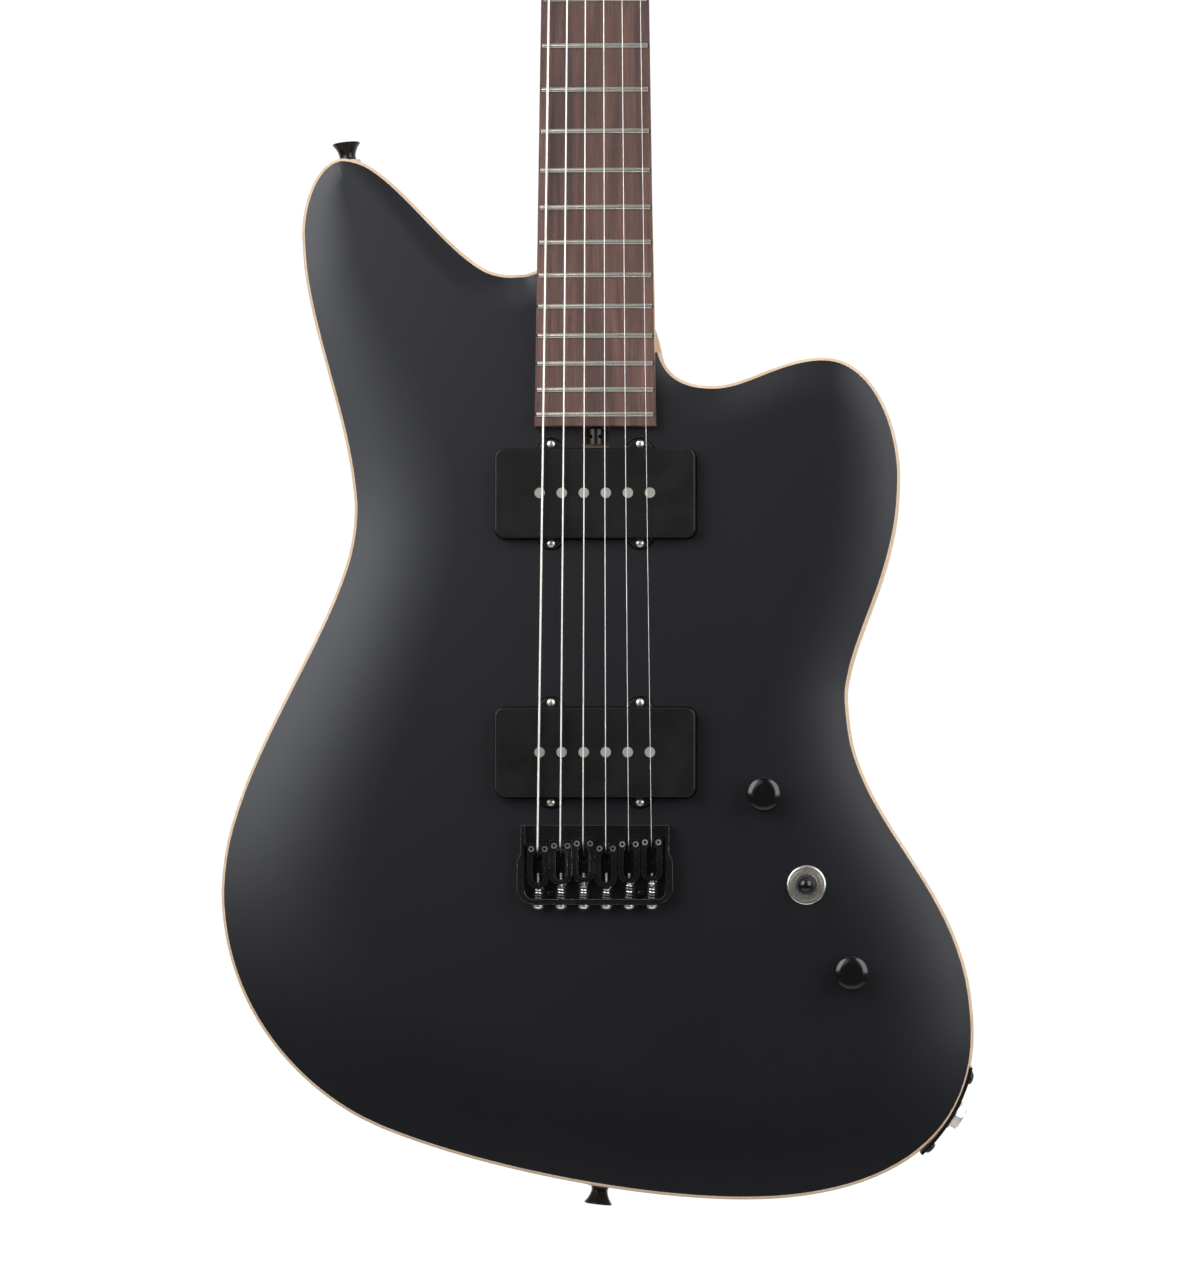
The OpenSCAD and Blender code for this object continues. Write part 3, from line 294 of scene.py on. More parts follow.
def skin(rings, closed=False):
    """Points and faces of a skin through rings of equal length, counterclockwise seen from the last ring."""
    count = len(rings[0])
    points = [tuple(p) for ring in rings for p in ring]
    faces = []
    for r in range(len(rings) if closed else len(rings) - 1):
        low, high = r * count, (r + 1) % len(rings) * count
        for i in range(count):
            j = (i + 1) % count
            faces.append((low + i, low + j, high + j, high + i))
    if not closed:
        faces.append(tuple(range(count))[::-1])
        faces.append(tuple((len(rings) - 1) * count + i for i in range(count)))
    return points, faces


def lathe(profile, steps=48, closed=False):
    """Turned solid round local Z. profile is (radius, z) from bottom to top, or a loop if closed."""
    rings = [[(x, y, z) for x, y in circle(max(r, 0.001), steps)] for r, z in profile]
    return skin(rings, closed=closed)


def inset(outline, distance):
    """Counterclockwise outline moved inwards."""
    points = np.array(outline, float)
    return points + distance * left_normals(points)


def slab(outline, low, high, rounding=0.0, steps=4):
    """Extruded outline, its upper edge rounded."""
    rings = [[(x, y, z) for x, y in outline] for z in (low, high - rounding)]
    if rounding:
        for j in range(1, steps + 1):
            a = math.pi / 2 * j / steps
            ring = inset(outline, rounding * (1 - math.cos(a)))
            rings.append([(x, y, high - rounding * (1 - math.sin(a))) for x, y in ring])
    return skin(rings)


def placed(origin, z_axis=(0, 0, 1), x_axis=(1, 0, 0)):
    """Matrix that puts a local shape at origin, with its Z and X along these directions."""
    z = Vector(z_axis).normalized()
    x = Vector(x_axis)
    x = (x - z * x.dot(z)).normalized()
    matrix = Matrix((x, z.cross(x), z)).transposed().to_4x4()
    matrix.translation = Vector(origin)
    return matrix


def to_frame(points):
    """Design millimetres to the frame's metres."""
    p = np.array(points, float)
    return np.c_[p[:, 0], -p[:, 2], p[:, 1] - HANGER_Y] * MM


def frame_point(x, y, z):
    return Vector(to_frame([(x, y, z)])[0])


class Shape:
    """Points in design millimetres with their faces, gathered for one mesh."""

    def __init__(self):
        self.points, self.faces, self.slots = [], [], []

    def add(self, shape, matrix=None, slot=0):
        points, faces = shape
        start = len(self.points)
        matrix = matrix or Matrix.Identity(4)
        self.points += [tuple(matrix @ Vector(p)) for p in points]
        self.faces += [tuple(start + i for i in face) for face in faces]
        self.slots += [slot] * len(faces)
        return self

    def object(self, name, materials=(), framed=True):
        mesh = bpy.data.meshes.new(name)
        points = to_frame(self.points) if framed else self.points
        mesh.from_pydata([tuple(p) for p in points], [], self.faces)
        for material in materials:
            mesh.materials.append(material)
        mesh.polygons.foreach_set("material_index", self.slots)
        piece = bpy.data.objects.new(name, mesh)
        bpy.context.scene.collection.objects.link(piece)
        smooth(piece)
        return piece


def smooth(piece, sharp=35.0):
    piece.data.shade_smooth()
    piece.data.set_sharp_from_angle(angle=math.radians(sharp))


def applied(piece):
    """Bakes the piece's modifiers into its mesh."""
    graph = bpy.context.evaluated_depsgraph_get()
    mesh = bpy.data.meshes.new_from_object(piece.evaluated_get(graph))
    piece.modifiers.clear()
    piece.data = mesh
    return piece


def boolean(piece, other, operation="DIFFERENCE", framed=True):
    """Cuts other, a Shape, out of the piece, or joins it on."""
    tool = other.object("cutter", framed=framed)
    modifier = piece.modifiers.new("cut", "BOOLEAN")
    modifier.operation = operation
    modifier.solver = "EXACT"
    modifier.object = tool
    applied(piece)
    bpy.data.objects.remove(tool)
    return piece


def weighted(piece):
    modifier = piece.modifiers.new("normals", "WEIGHTED_NORMAL")
    modifier.keep_sharp = True
    modifier.weight = 100
    return piece


def finish(piece, body, slot, *nodes):
    """Rides on the body and stands for the CAD nodes. The slot is not used."""
    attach(piece, body)
    if nodes:
        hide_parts(*nodes)
    return piece


# ---- Materials ----
class Nodes:
    """A material's node tree round one Principled shader."""

    def __init__(self, name):
        self.material = bpy.data.materials.new(name)
        self.material.use_nodes = True
        self.tree = self.material.node_tree
        self.shader = self.tree.nodes["Principled BSDF"]
        self.place = self.tree.nodes.new("ShaderNodeTexCoord").outputs["Object"]

    def add(self, kind, **values):
        node = self.tree.nodes.new(kind)
        for name, value in values.items():
            setattr(node, name, value)
        return node

    def feed(self, node, **values):
        """Links outputs to the node's inputs, or sets the inputs to plain values."""
        for name, value in values.items():
            self.plug(node.inputs[name.replace("_", " ")], value)
        return node

    def plug(self, socket, value):
        if isinstance(value, bpy.types.NodeSocket):
            self.tree.links.new(value, socket)
        else:
            socket.default_value = value

    def set(self, **values):
        self.feed(self.shader, **values)
        return self.material

    def scaled(self, scale):
        node = self.add("ShaderNodeMapping")
        return self.feed(node, Vector=self.place, Scale=scale).outputs["Vector"]

    def noise(self, vector, scale, detail, roughness, distortion=0.0):
        node = self.add("ShaderNodeTexNoise")
        self.feed(node, Vector=vector, Scale=scale, Detail=detail, Roughness=roughness, Distortion=distortion)
        return node.outputs["Fac"]

    def bands(self, way, pitch, distortion=0.0):
        """Soft bands a pitch apart."""
        node = self.add("ShaderNodeTexWave", wave_type="BANDS", bands_direction=way)
        self.feed(node, Vector=self.place, Scale=1 / (20 * pitch) * 2 * math.pi, Distortion=distortion)
        return node.outputs["Fac"]

    def ramp(self, factor, *stops):
        """Grey or colour along the stops (position, colour)."""
        node = self.add("ShaderNodeValToRGB")
        elements = node.color_ramp.elements
        while len(elements) < len(stops):
            elements.new(0.5)
        for element, (position, colour) in zip(elements, stops):
            element.position = position
            element.color = (*colour, 1) if isinstance(colour, tuple) else (colour, colour, colour, 1)
        return self.feed(node, Fac=factor).outputs["Color"]

    def spread(self, factor, low, high):
        """The factor, mapped from 0.3..0.7 to low..high."""
        node = self.add("ShaderNodeMapRange")
        self.feed(node, Value=factor, From_Min=0.3, From_Max=0.7, To_Min=low, To_Max=high)
        return node.outputs["Result"]

    def mix(self, factor, a, b, blend="MIX"):
        node = self.add("ShaderNodeMix", data_type="RGBA", blend_type=blend)
        for socket, value in ((node.inputs[0], factor), (node.inputs[6], a), (node.inputs[7], b)):
            self.plug(socket, (*value, 1) if isinstance(value, tuple) else value)
        return node.outputs[2]

    def maths(self, operation, a, b):
        node = self.add("ShaderNodeMath", operation=operation)
        self.plug(node.inputs[0], a)
        self.plug(node.inputs[1], b)
        return node.outputs["Value"]

    def bump(self, height, distance, **under):
        """Bump of the height, in metres at 1, on the surface or on another bump, Normal."""
        node = self.add("ShaderNodeBump")
        return self.feed(node, Height=height, Distance=distance, **under).outputs["Normal"]


def wood(name, pale, middle, dark, pore, gloss, ring_size=0.014, pore_depth=0.00004):
    """Planed wood, its grain along the neck: broad bands, fine streaks and open pores."""
    n = Nodes(name)
    along = n.scaled((1, 1, 0.07))
    band = n.noise(along, 1 / ring_size, 3, 0.5, 0.6)
    streak = n.noise(n.scaled((1, 1, 0.025)), 900, 3, 0.6)
    pores = n.noise(n.scaled((1, 1, 0.04)), 2600, 2, 0.5)
    base = n.ramp(band, (0.3, dark), (0.5, middle), (0.68, pale))
    base = n.mix(n.spread(streak, 0.0, 1.0), base, n.mix(0.6, base, dark))
    holes = n.ramp(pores, (0.56, 0.0), (0.68, 1.0))
    base = n.mix(n.maths("MULTIPLY", holes, 0.55), base, pore)
    return n.set(Base_Color=base, Roughness=n.spread(band, gloss + 0.08, gloss - 0.06),
                 Normal=n.bump(n.maths("SUBTRACT", n.maths("MULTIPLY", streak, 0.5), holes), pore_depth))


def paint_black():
    """Matt black paint, with a faint swell of the grain under it."""
    n = Nodes("paint_black")
    swell = n.noise(n.scaled((1, 1, 0.08)), 260, 3, 0.5)
    peel = n.noise(n.place, 1500, 2, 0.5)
    cloud = n.noise(n.place, 14, 3, 0.5)
    colour = n.mix(n.spread(cloud, 0.0, 1.0), (0.0016, 0.0018, 0.0032), (0.0024, 0.0026, 0.0042))
    return n.set(Base_Color=colour, Roughness=n.spread(peel, 0.32, 0.37),
                 Specular_Tint=(0.93, 0.95, 1.0, 1),
                 Normal=n.bump(peel, 0.000006, Normal=n.bump(swell, 0.00001)))


def moulded(name, colour, gloss, grain=0.000008, shine=0.5):
    """Moulded plastic with a fine texture and slight handling wear."""
    n = Nodes(name)
    fine = n.noise(n.place, 3200, 2, 0.6)
    wear = n.noise(n.place, 70, 4, 0.6)
    base = n.mix(n.spread(wear, 0.0, 1.0), colour, tuple(1.4 * c + 0.0004 for c in colour))
    return n.set(Base_Color=base, Roughness=n.spread(wear, gloss - 0.04, gloss + 0.06),
                 Specular_IOR_Level=shine, Normal=n.bump(fine, grain))


def metal(name, colour, gloss, scratch=0.000004, grain=(1, 1, 1)):
    """Bare or plated metal: cloudy tarnish, fine marks along the grain and uneven gloss."""
    n = Nodes(name)
    cloud = n.noise(n.place, 120, 4, 0.6)
    marks = n.noise(n.scaled(grain), 2600, 3, 0.65)
    base = n.mix(n.spread(cloud, 0.0, 1.0), colour, tuple(0.7 * c for c in colour))
    rough = n.maths("ADD", n.spread(cloud, gloss - 0.04, gloss + 0.06), n.maths("MULTIPLY", marks, 0.08))
    return n.set(Base_Color=base, Metallic=1.0, Roughness=rough, Normal=n.bump(marks, scratch))


def black_plated():
    """Black plating: dark, smooth and a little worn."""
    n = Nodes("black_plated")
    cloud = n.noise(n.place, 90, 4, 0.6)
    fine = n.noise(n.place, 2400, 2, 0.6)
    base = n.mix(n.spread(cloud, 0.0, 1.0), (0.0018, 0.0018, 0.0020), (0.0036, 0.0036, 0.0039))
    return n.set(Base_Color=base, Roughness=n.spread(cloud, 0.23, 0.32), Specular_IOR_Level=0.34,
                 Normal=n.bump(fine, 0.000002))


def wound(name, colour, pitch):
    """Round winding along a string, as fine rings of wire, with painted shade in the grooves between them."""
    n = Nodes(name)
    wave = n.bands("Z", pitch)
    cloud = n.noise(n.place, 60, 3, 0.6)
    base = n.mix(n.spread(cloud, 0.0, 1.0), colour, tuple(0.8 * c for c in colour))
    # Darker colour in the grooves between the wire rings: painted shade.
    groove_shade = n.ramp(wave, (0.0, 0.55), (0.3, 1.0))
    return n.set(Base_Color=n.mix(1.0, base, groove_shade, "MULTIPLY"), Metallic=1.0,
                 Roughness=n.spread(cloud, 0.28, 0.36), Normal=n.bump(wave, 0.000015))


def felt():
    """Pressed wool of the strap washers."""
    n = Nodes("washer_felt")
    fluff = n.noise(n.place, 1800, 5, 0.75)
    base = n.mix(n.spread(fluff, 0.0, 1.0), (0.42, 0.392, 0.336), (0.60, 0.56, 0.48))
    return n.set(Base_Color=base, Roughness=0.95, Sheen_Weight=0.4, Normal=n.bump(fluff, 0.0002))


def magnet_metal():
    """Cast magnet with a ground end: grey, with fine pits."""
    n = Nodes("magnet")
    pits = n.noise(n.place, 1500, 4, 0.7)
    base = n.mix(n.spread(pits, 0.0, 1.0), (0.30, 0.30, 0.27), (0.42, 0.42, 0.38))
    return n.set(Base_Color=base, Metallic=0.75, Roughness=n.spread(pits, 0.4, 0.55),
                 Normal=n.bump(pits, 0.00001))


def winding(name, colour, pitch):
    """Fine wire laid in layers round a coil, or braid on a lead, with painted shade in the dark bands between
    the strands.
    """
    n = Nodes(name)
    wave = n.bands("DIAGONAL", pitch, 0.4)
    # Darker bands between the strands: painted shade.
    base = n.mix(wave, tuple(0.45 * c for c in colour), colour)
    return n.set(Base_Color=base, Roughness=0.5, Normal=n.bump(wave, 0.00005))


PAINT = paint_black()
BODY_WOOD = wood("body_wood", pale=(0.72, 0.56, 0.41), middle=(0.66, 0.49, 0.34),
                 dark=(0.56, 0.40, 0.26), pore=(0.38, 0.25, 0.15), gloss=0.42)
MAPLE = wood("neck_maple", pale=(0.66, 0.47, 0.29), middle=(0.60, 0.41, 0.235),
             dark=(0.50, 0.33, 0.18), pore=(0.38, 0.24, 0.13), gloss=0.36,
             ring_size=0.02, pore_depth=0.000015)
ROSEWOOD = wood("rosewood", pale=(0.165, 0.078, 0.058), middle=(0.110, 0.048, 0.037),
                dark=(0.05, 0.024, 0.020), pore=(0.018, 0.009, 0.008), gloss=0.5,
                ring_size=0.006, pore_depth=0.00008)
PLASTIC = moulded("black_plastic", (0.0016, 0.0016, 0.0016), 0.34, grain=0.000003, shine=0.32)
KNOB = moulded("knob_black", (0.0012, 0.0012, 0.0014), 0.17, grain=0.000001, shine=0.55)
NICKEL = metal("nickel", (0.80, 0.77, 0.72), 0.3, 0.000001)
FRET_WIRE = metal("fret_wire", (0.74, 0.72, 0.66), 0.24, 0.000001, grain=(0.05, 1, 1))
STEEL = metal("steel", (0.40, 0.40, 0.39), 0.36)
# Dark steel: the truss rod's own colour, and painted shade on the intonation threads inside the springs and
# on the toggle switch body.
DARK_STEEL_AND_SHADE = metal("dark_steel_and_shade", (0.10, 0.10, 0.10), 0.42)
# Bright bare metal for the bevels of the bridge tray and saddles: painted edge highlights, shown as plating
# worn to the metal.
EDGE_HIGHLIGHT = metal("painted_edge_highlight", (0.8, 0.8, 0.82), 0.34)
# A darker copy of nickel for the toggle's washer and nut: painted shade.
SHADED_RING_NICKEL = metal("shaded_ring_nickel", (0.72, 0.69, 0.635), 0.22, 0.0000005)
# Nickel brightened above the other nickel parts so that the springs and intonation screw heads in the tray's
# shadow read bright: painted light.
PAINTED_LIGHT_NICKEL = metal("painted_light_nickel", (0.95, 0.94, 0.92), 0.2, 0.0000005)
BRASS = metal("brass", (0.66, 0.48, 0.20), 0.28)
PLAIN_STRING = metal("plain_string", (0.86, 0.84, 0.81), 0.3, 0.0000003, grain=(1, 1, 0.02))
WOUND_STRING = wound("wound_string", (0.88, 0.86, 0.82), 0.00028)
BLACK_PLATED = black_plated()
BONE = moulded("bone", (0.78, 0.73, 0.62), 0.4)
DOT = moulded("side_dot", (0.80, 0.79, 0.74), 0.35)
MAGNET = magnet_metal()
COPPER = winding("copper_wire", (0.42, 0.15, 0.06), 0.0001)
CLOTH = winding("wire_cloth", (0.05, 0.05, 0.05), 0.0006)
FELT = felt()
# Near-black for the height screws' sockets: painted shade in the recesses.
SOCKET_SHADE = moulded("painted_socket_shade", (0.004, 0.004, 0.004), 0.8)


# ---- Body ----
def body_rings():
    """Rings of the body from the back to the middle of the face, and where the paint starts."""
    outline = closed_curve(FACE_ANCHORS, BODY_STEPS)
    normals = left_normals(outline)
    width = rim_widths()

    def ring(out, grow, z, drop):
        """Outline moved out by a distance and by a share of the rim, dropped by a share of its slope."""
        flat = outline + (out + grow * width)[:, None] * normals
        return finer(np.c_[flat, z - drop * RIM_SLOPE * width], FINER)[::-1]

    quarter = [math.pi / 2 * j / EDGE_STEPS for j in range(EDGE_STEPS + 1)]
    rings = [ring(EDGE_ROUND - BACK_ROUND * (1 - math.sin(a)), 0, BACK_Z + BACK_ROUND * (1 - math.cos(a)), 0)
             for a in quarter]
    rings += [ring(EDGE_ROUND * math.cos(a), 0, -EDGE_ROUND * (1 - math.sin(a)), 1) for a in quarter]
    first_painted = len(rings) - 2
    for j in range(1, RIM_RINGS + 1):
        t = j / RIM_RINGS
        rings.append(ring(0, -t, 0, (1 - t) ** 2))
    return rings, first_painted


def rim_widths():
    """Width of the arched rim at each point of the outline."""
    widths = [anchor[5] for anchor in FACE_ANCHORS]
    shares = [eased(j / BODY_STEPS) for j in range(BODY_STEPS)]
    return np.array([a * (1 - t) + b * t for a, b in zip(widths, widths[1:] + widths[:1]) for t in shares])


def finer(ring, steps):
    """Closed ring with steps times as many points, on a curve through its own."""
    before, after, later = np.roll(ring, 1, 0), np.roll(ring, -1, 0), np.roll(ring, -2, 0)
    parts = []
    for j in range(steps):
        t = j / steps
        parts.append(0.5 * (2 * ring + (after - before) * t
                            + (2 * before - 5 * ring + 4 * after - later) * t ** 2
                            + (3 * ring - before - 3 * after + later) * t ** 3))
    return np.stack(parts, 1).reshape(-1, ring.shape[1])


def jack_point(reach, angle):
    """Point of the plane at a reach from the centre of the jack plate's curve and an angle along it."""
    return JACK_CENTRE + reach * direction(JACK_HEADING + angle)


def jack_matrix(angle=0.0, out=0.0, z=0.0):
    """Z out of the jack plate's seat, at an angle along its arc and a height."""
    away = (*direction(JACK_HEADING + angle), 0)
    return placed((*jack_point(JACK_RADIUS + out, angle), SIDE_Z + z), away, (0, 0, 1))


def strap_matrices():
    """Z out of the side at the lower and the upper strap button."""
    for x, y, heading in STRAP_BUTTONS:
        yield placed((x, y, SIDE_Z), (*direction(heading), 0), (0, 0, 1))


def cavity_place():
    """Middle and heading of the control cavity."""
    start, end = np.array(VOLUME_AT), np.array(CAVITY_END)
    x, y = end - start
    return (start + end) / 2, math.degrees(math.atan2(y, x))


def cavity(grow):
    """Outline of the control cavity, grown by a distance."""
    length, width = (size + 2 * grow for size in CAVITY_SIZE)
    return rounded_rectangle(length, width, CAVITY_CORNER + grow, *cavity_place())


def pocket_shape():
    """Outline of the neck pocket, open towards the neck and the treble cutaway."""
    far, side, gap = 300, 60, 0.05
    end = BOARD_END - 0.02
    return [(-neck_half(BOARD_END) - gap, end), (neck_half(BOARD_END) + gap, end),
            (neck_half(HEEL_END) + gap, HEEL_END), (side, HEEL_END), (side, far),
            (-neck_half(far) - gap, far)]


def jack_sector():
    """Cutter for the seat of the curved jack plate."""
    half_arc, half_height, outside, steps = 17.7, 17.2, 88, 24
    angles = np.linspace(-half_arc, half_arc, steps + 1)
    inner = [jack_point(JACK_RADIUS, a) for a in reversed(angles)]
    outer = [jack_point(outside, a) for a in angles]
    return slab(outer + inner, SIDE_Z - half_height, SIDE_Z + half_height)


def deep_cutters():
    """Neck pocket, pickup and control cavities, and the holes for ferrules and strap buttons."""
    shape = Shape()
    shape.add(slab(pocket_shape(), POCKET_FLOOR, 20))
    for y in PICKUPS_Y:
        outline = rounded_rectangle(COVER_LENGTH - 8, COVER_WIDTH - 8, 5, (0, y))
        shape.add(slab(outline, -16, 4), slot=PAINTED)
    shape.add(slab(cavity(0), BACK_Z - 1, -6))
    for at in NECK_SCREWS:
        shape.add(slab(circle(6.02, centre=at), BACK_Z - 1, BACK_Z + 5))
    for k in STRINGS:
        shape.add(slab(circle(4.02, 32, (bridge_x(k), -STRING_HOLE_Y)), BACK_Z - 1, BACK_Z + 12))
    for matrix in strap_matrices():
        shape.add(slab(circle(6.4), 0, 5), matrix)
    return shape


def wide_cutters():
    """Truss rod slot, the rear cover's seat and the jack plate's seat."""
    shape = Shape()
    low, high, half = NECK_PICKUP_Y + COVER_WIDTH / 2 - 6, BOARD_END + 1, 6.2
    shape.add(slab([(-half, low), (half, low), (half, high), (-half, high)], -7, 3))
    shape.add(slab(cavity(COVER_RIM + 0.05), BACK_Z - 1, BACK_Z + 2.5))
    shape.add(jack_sector())
    return shape


def rout_cutters():
    """Seats of the two pickup covers."""
    shape = Shape()
    for y in PICKUPS_Y:
        outline = rounded_rectangle(COVER_LENGTH + 2 * ROUT_GAP, COVER_WIDTH + 2 * ROUT_GAP,
                                    COVER_CORNER + ROUT_GAP, (0, y))
        shape.add(slab(outline, PICKUP_SEAT - 0.05, 4), slot=PAINTED)
    return shape


def round_cutters():
    """Bore of the jack and the seats of the covers' ears."""
    shape = Shape().add(slab(circle(11), -54, 1), jack_matrix())
    for y in PICKUPS_Y:
        for at in four_places(y, EAR_AT):
            outline = circle(EAR_RADIUS + ROUT_GAP, 40, at)
            shape.add(slab(outline, PICKUP_SEAT - 0.05, 4), slot=PAINTED)
    return shape


def make_body():
    """Wooden body with its painted face. Each pass of cutters holds only ones that are apart."""
    rings, first_painted = body_rings()
    shape = Shape().add(skin(rings))
    wooden = first_painted * len(rings[0])
    back_cap = len(shape.faces) - 2
    shape.slots = [PAINTED if i >= wooden and i != back_cap else 0 for i in range(len(shape.faces))]
    body = shape.object("body_wood_and_paint", [BODY_WOOD, PAINT])
    for cutters in (deep_cutters(), wide_cutters(), rout_cutters(), round_cutters()):
        boolean(body, cutters)
    smooth(body, 28)
    return finish(weighted(body), ROOT, "body_wood", "body")


# ---- Neck ----
# Sections: y, top, bottom, squareness
NECK_SECTIONS = np.array([
    (BOARD_END, 3, -16, 14),
    (248, 3, -16, 14),
    (258, 3, -15.8, 9),
    (270, 3, -15.2, 5),
    (284, 3, -14.3, 3.2),
    (304, 3, -13.6, 2.5),
    (340, 3, -13.4, 2.3),
    (500, 3, -12.7, 2.2),
    (630, 3, -12, 2.2),
    (NUT_END, 3, -12.4, 2.3),
    (652.6, 0.6, -12.6, 2.35),
    (656, -1.2, -13.4, 2.6),
    (662, -2.9, -15, 3.2),
    (668, -3.4, -16.6, 4.2),
    (676, HEAD_FACE, -17.7, 7),
    (684, HEAD_FACE, HEAD_BACK, 11),
    (HEAD_TIP, HEAD_FACE, HEAD_BACK, 12),
])


def neck_stations():
    """Places of the neck's rings, closest where its section changes and at the rounded tip."""
    tip_round = 18
    return np.concatenate([
        np.linspace(BOARD_END, 248, 4),
        np.linspace(250, 340, 46),
        np.linspace(350, 640, 30),
        [646, 650, NUT_END - 0.01, NUT_END + 0.01, 652.6],
        np.linspace(653.5, 690, 36),
        np.linspace(694, HEAD_TIP - tip_round, 32),
        HEAD_TIP - tip_round * (1 - np.sin(np.linspace(0.06, math.pi / 2 - 0.02, 18))),
    ])


def head_sides():
    """Left and right edges of the headstock against y."""
    outline = closed_curve(HEAD_ANCHORS, HEAD_STEPS)
    tip = int(outline[:, 1].argmax())
    last = (len(HEAD_ANCHORS) - 1) * HEAD_STEPS
    return outline[:tip + 1], outline[tip:last + 1][::-1]


def neck_ring(y, left, right):
    """Section at y: flat on top, and from oval to nearly square below."""
    top, bottom, square = (np.interp(y, NECK_SECTIONS[:, 0], NECK_SECTIONS[:, i]) for i in (1, 2, 3))
    half = neck_half(min(y, NUT_END))
    mix = eased(min(max((y - NUT_END) / 12, 0), 1))
    low = -half * (1 - mix) + np.interp(y, left[:, 1], left[:, 0]) * mix
    high = half * (1 - mix) + np.interp(y, right[:, 1], right[:, 0]) * mix
    ring = []
    for j in range(SECTION_POINTS + 1):
        a = math.pi * j / SECTION_POINTS
        c, s = math.cos(a), abs(math.sin(a))
        x = math.copysign(abs(c) ** (2 / square), c)
        ring.append(((low + high) / 2 + x * (high - low) / 2, y, top + (bottom - top) * s ** (2 / square)))
    return ring


def make_neck():
    """Neck with heel and headstock. The headstock's face is painted."""
    left, right = head_sides()
    stations = neck_stations()
    shape = Shape().add(skin([neck_ring(y, left, right) for y in stations]))
    count = SECTION_POINTS + 1
    for index in range(len(shape.faces) - 2):
        if index % count == count - 1 and stations[index // count] > NUT_END + 1:
            shape.slots[index] = PAINTED
    neck = shape.object("neck_wood", [MAPLE, PAINT])
    return finish(weighted(neck), ROOT, "neck_maple", "neck")


# ---- Screws ----
def carved(solid, *cutters):
    """Points and faces of a local solid with the cutters taken out."""
    piece = Shape().add(solid).object("solid", framed=False)
    for cutter in cutters:
        boolean(piece, Shape().add(cutter), framed=False)
    points = [tuple(v.co) for v in piece.data.vertices]
    faces = [tuple(p.vertices) for p in piece.data.polygons]
    bpy.data.objects.remove(piece)
    return points, faces


def cross_recess(reach, top, depth):
    """Cutter for a cross recess: two crossing wedges that narrow towards their bottom."""
    half = reach * 0.17
    corners = []
    for z, along, across in ((top - depth, reach * 0.35, half * 0.6), (top + 1, reach * 1.2, half * 1.2)):
        corners.append([(sx * along, sy * across, z) for sx, sy in ((1, 1), (-1, 1), (-1, -1), (1, -1))])
    points, faces = skin(corners)
    return (points, faces), ([(-y, x, z) for x, y, z in points], faces)


def dome(radius, base, height, steps, count):
    """Profile points up a dome: the first ones, as many as count, of steps."""
    turns = [math.pi / 2 * j / steps for j in range(1, count + 1)]
    return [(radius * math.cos(a), base + height * math.sin(a)) for a in turns]


def pan_head(radius, height, shank, length):
    """Domed screw on a plain shank, its seat at z 0."""
    profile = [(shank * 0.5, -length), (shank, -length + shank), (shank, 0), (radius, 0),
               (radius, height * 0.25)]
    profile += dome(radius * 0.98, height * 0.25, height * 0.75, 7, 6)
    return carved(lathe(profile, 32), *cross_recess(radius * 0.62, height, height * 0.75))


def flush_head(radius, height, shank, length):
    """Countersunk screw, its face at z 0 with a slight crown."""
    profile = [(shank * 0.5, -length), (shank, -length + shank), (shank, -height), (radius, -0.25),
               (radius, -0.05), (radius * 0.9, 0.0), (radius * 0.5, 0.0)]
    return carved(lathe(profile, 32), *cross_recess(radius * 0.6, 0, height * 0.8))


def threaded(radius, pitch, low, high):
    """Screw shank with a cut thread, drawn as ridges."""
    root = radius * 0.8
    profile, z = [(root, low)], low
    while z + pitch < high:
        profile += [(root, z + 0.05 * pitch), (radius, z + 0.45 * pitch), (radius, z + 0.55 * pitch),
                    (root, z + 0.95 * pitch)]
        z += pitch
    profile.append((root, high))
    return lathe(profile, 20)


def four_places(y, reach):
    """Places to both sides and both ends of a pickup at y."""
    return [(sx * reach[0], y + sy * reach[1]) for sx in (-1, 1) for sy in (-1, 1)]


def make_pickup_screws():
    """Four screws to a pickup, each left at its own turn."""
    head = pan_head(2.05, 1.3, 1.05, 16)
    shape = Shape()
    places = [place for pickup in PICKUPS_Y for place in four_places(pickup, PICKUP_SCREW_AT)]
    for index, (x, y) in enumerate(places):
        shape.add(head, placed((x, y, EAR_TOP), x_axis=(*direction(20 + 37 * index), 0)))
    piece = shape.object("pickup_screw_set", [NICKEL])
    return finish(piece, ROOT, "nickel", "pickup_screws")


def cover_screw_places():
    """Six screws round the rim of the rear cover."""
    middle, heading = cavity_place()
    c, s = direction(heading)
    reach = [size / 2 + COVER_RIM - 3.2 for size in CAVITY_SIZE]
    end, off = 0.985, 0.45
    for along, across in ((-end, -off), (-end, off), (0, -1), (0, 1), (end, -off), (end, off)):
        u, v = along * reach[0], across * reach[1]
        yield middle[0] + u * c - v * s, middle[1] + u * s + v * c


def tuner_matrix(k, x, y, z):
    """X out along the button from the post of tuner k, Z out of the headstock's back."""
    out, side = direction(POST_LINE + 90), direction(POST_LINE + 180)
    at = (post_x(k), post_y(k)) + x * out + y * side
    return placed((*at, z), (0, 0, -1), (*out, 0))


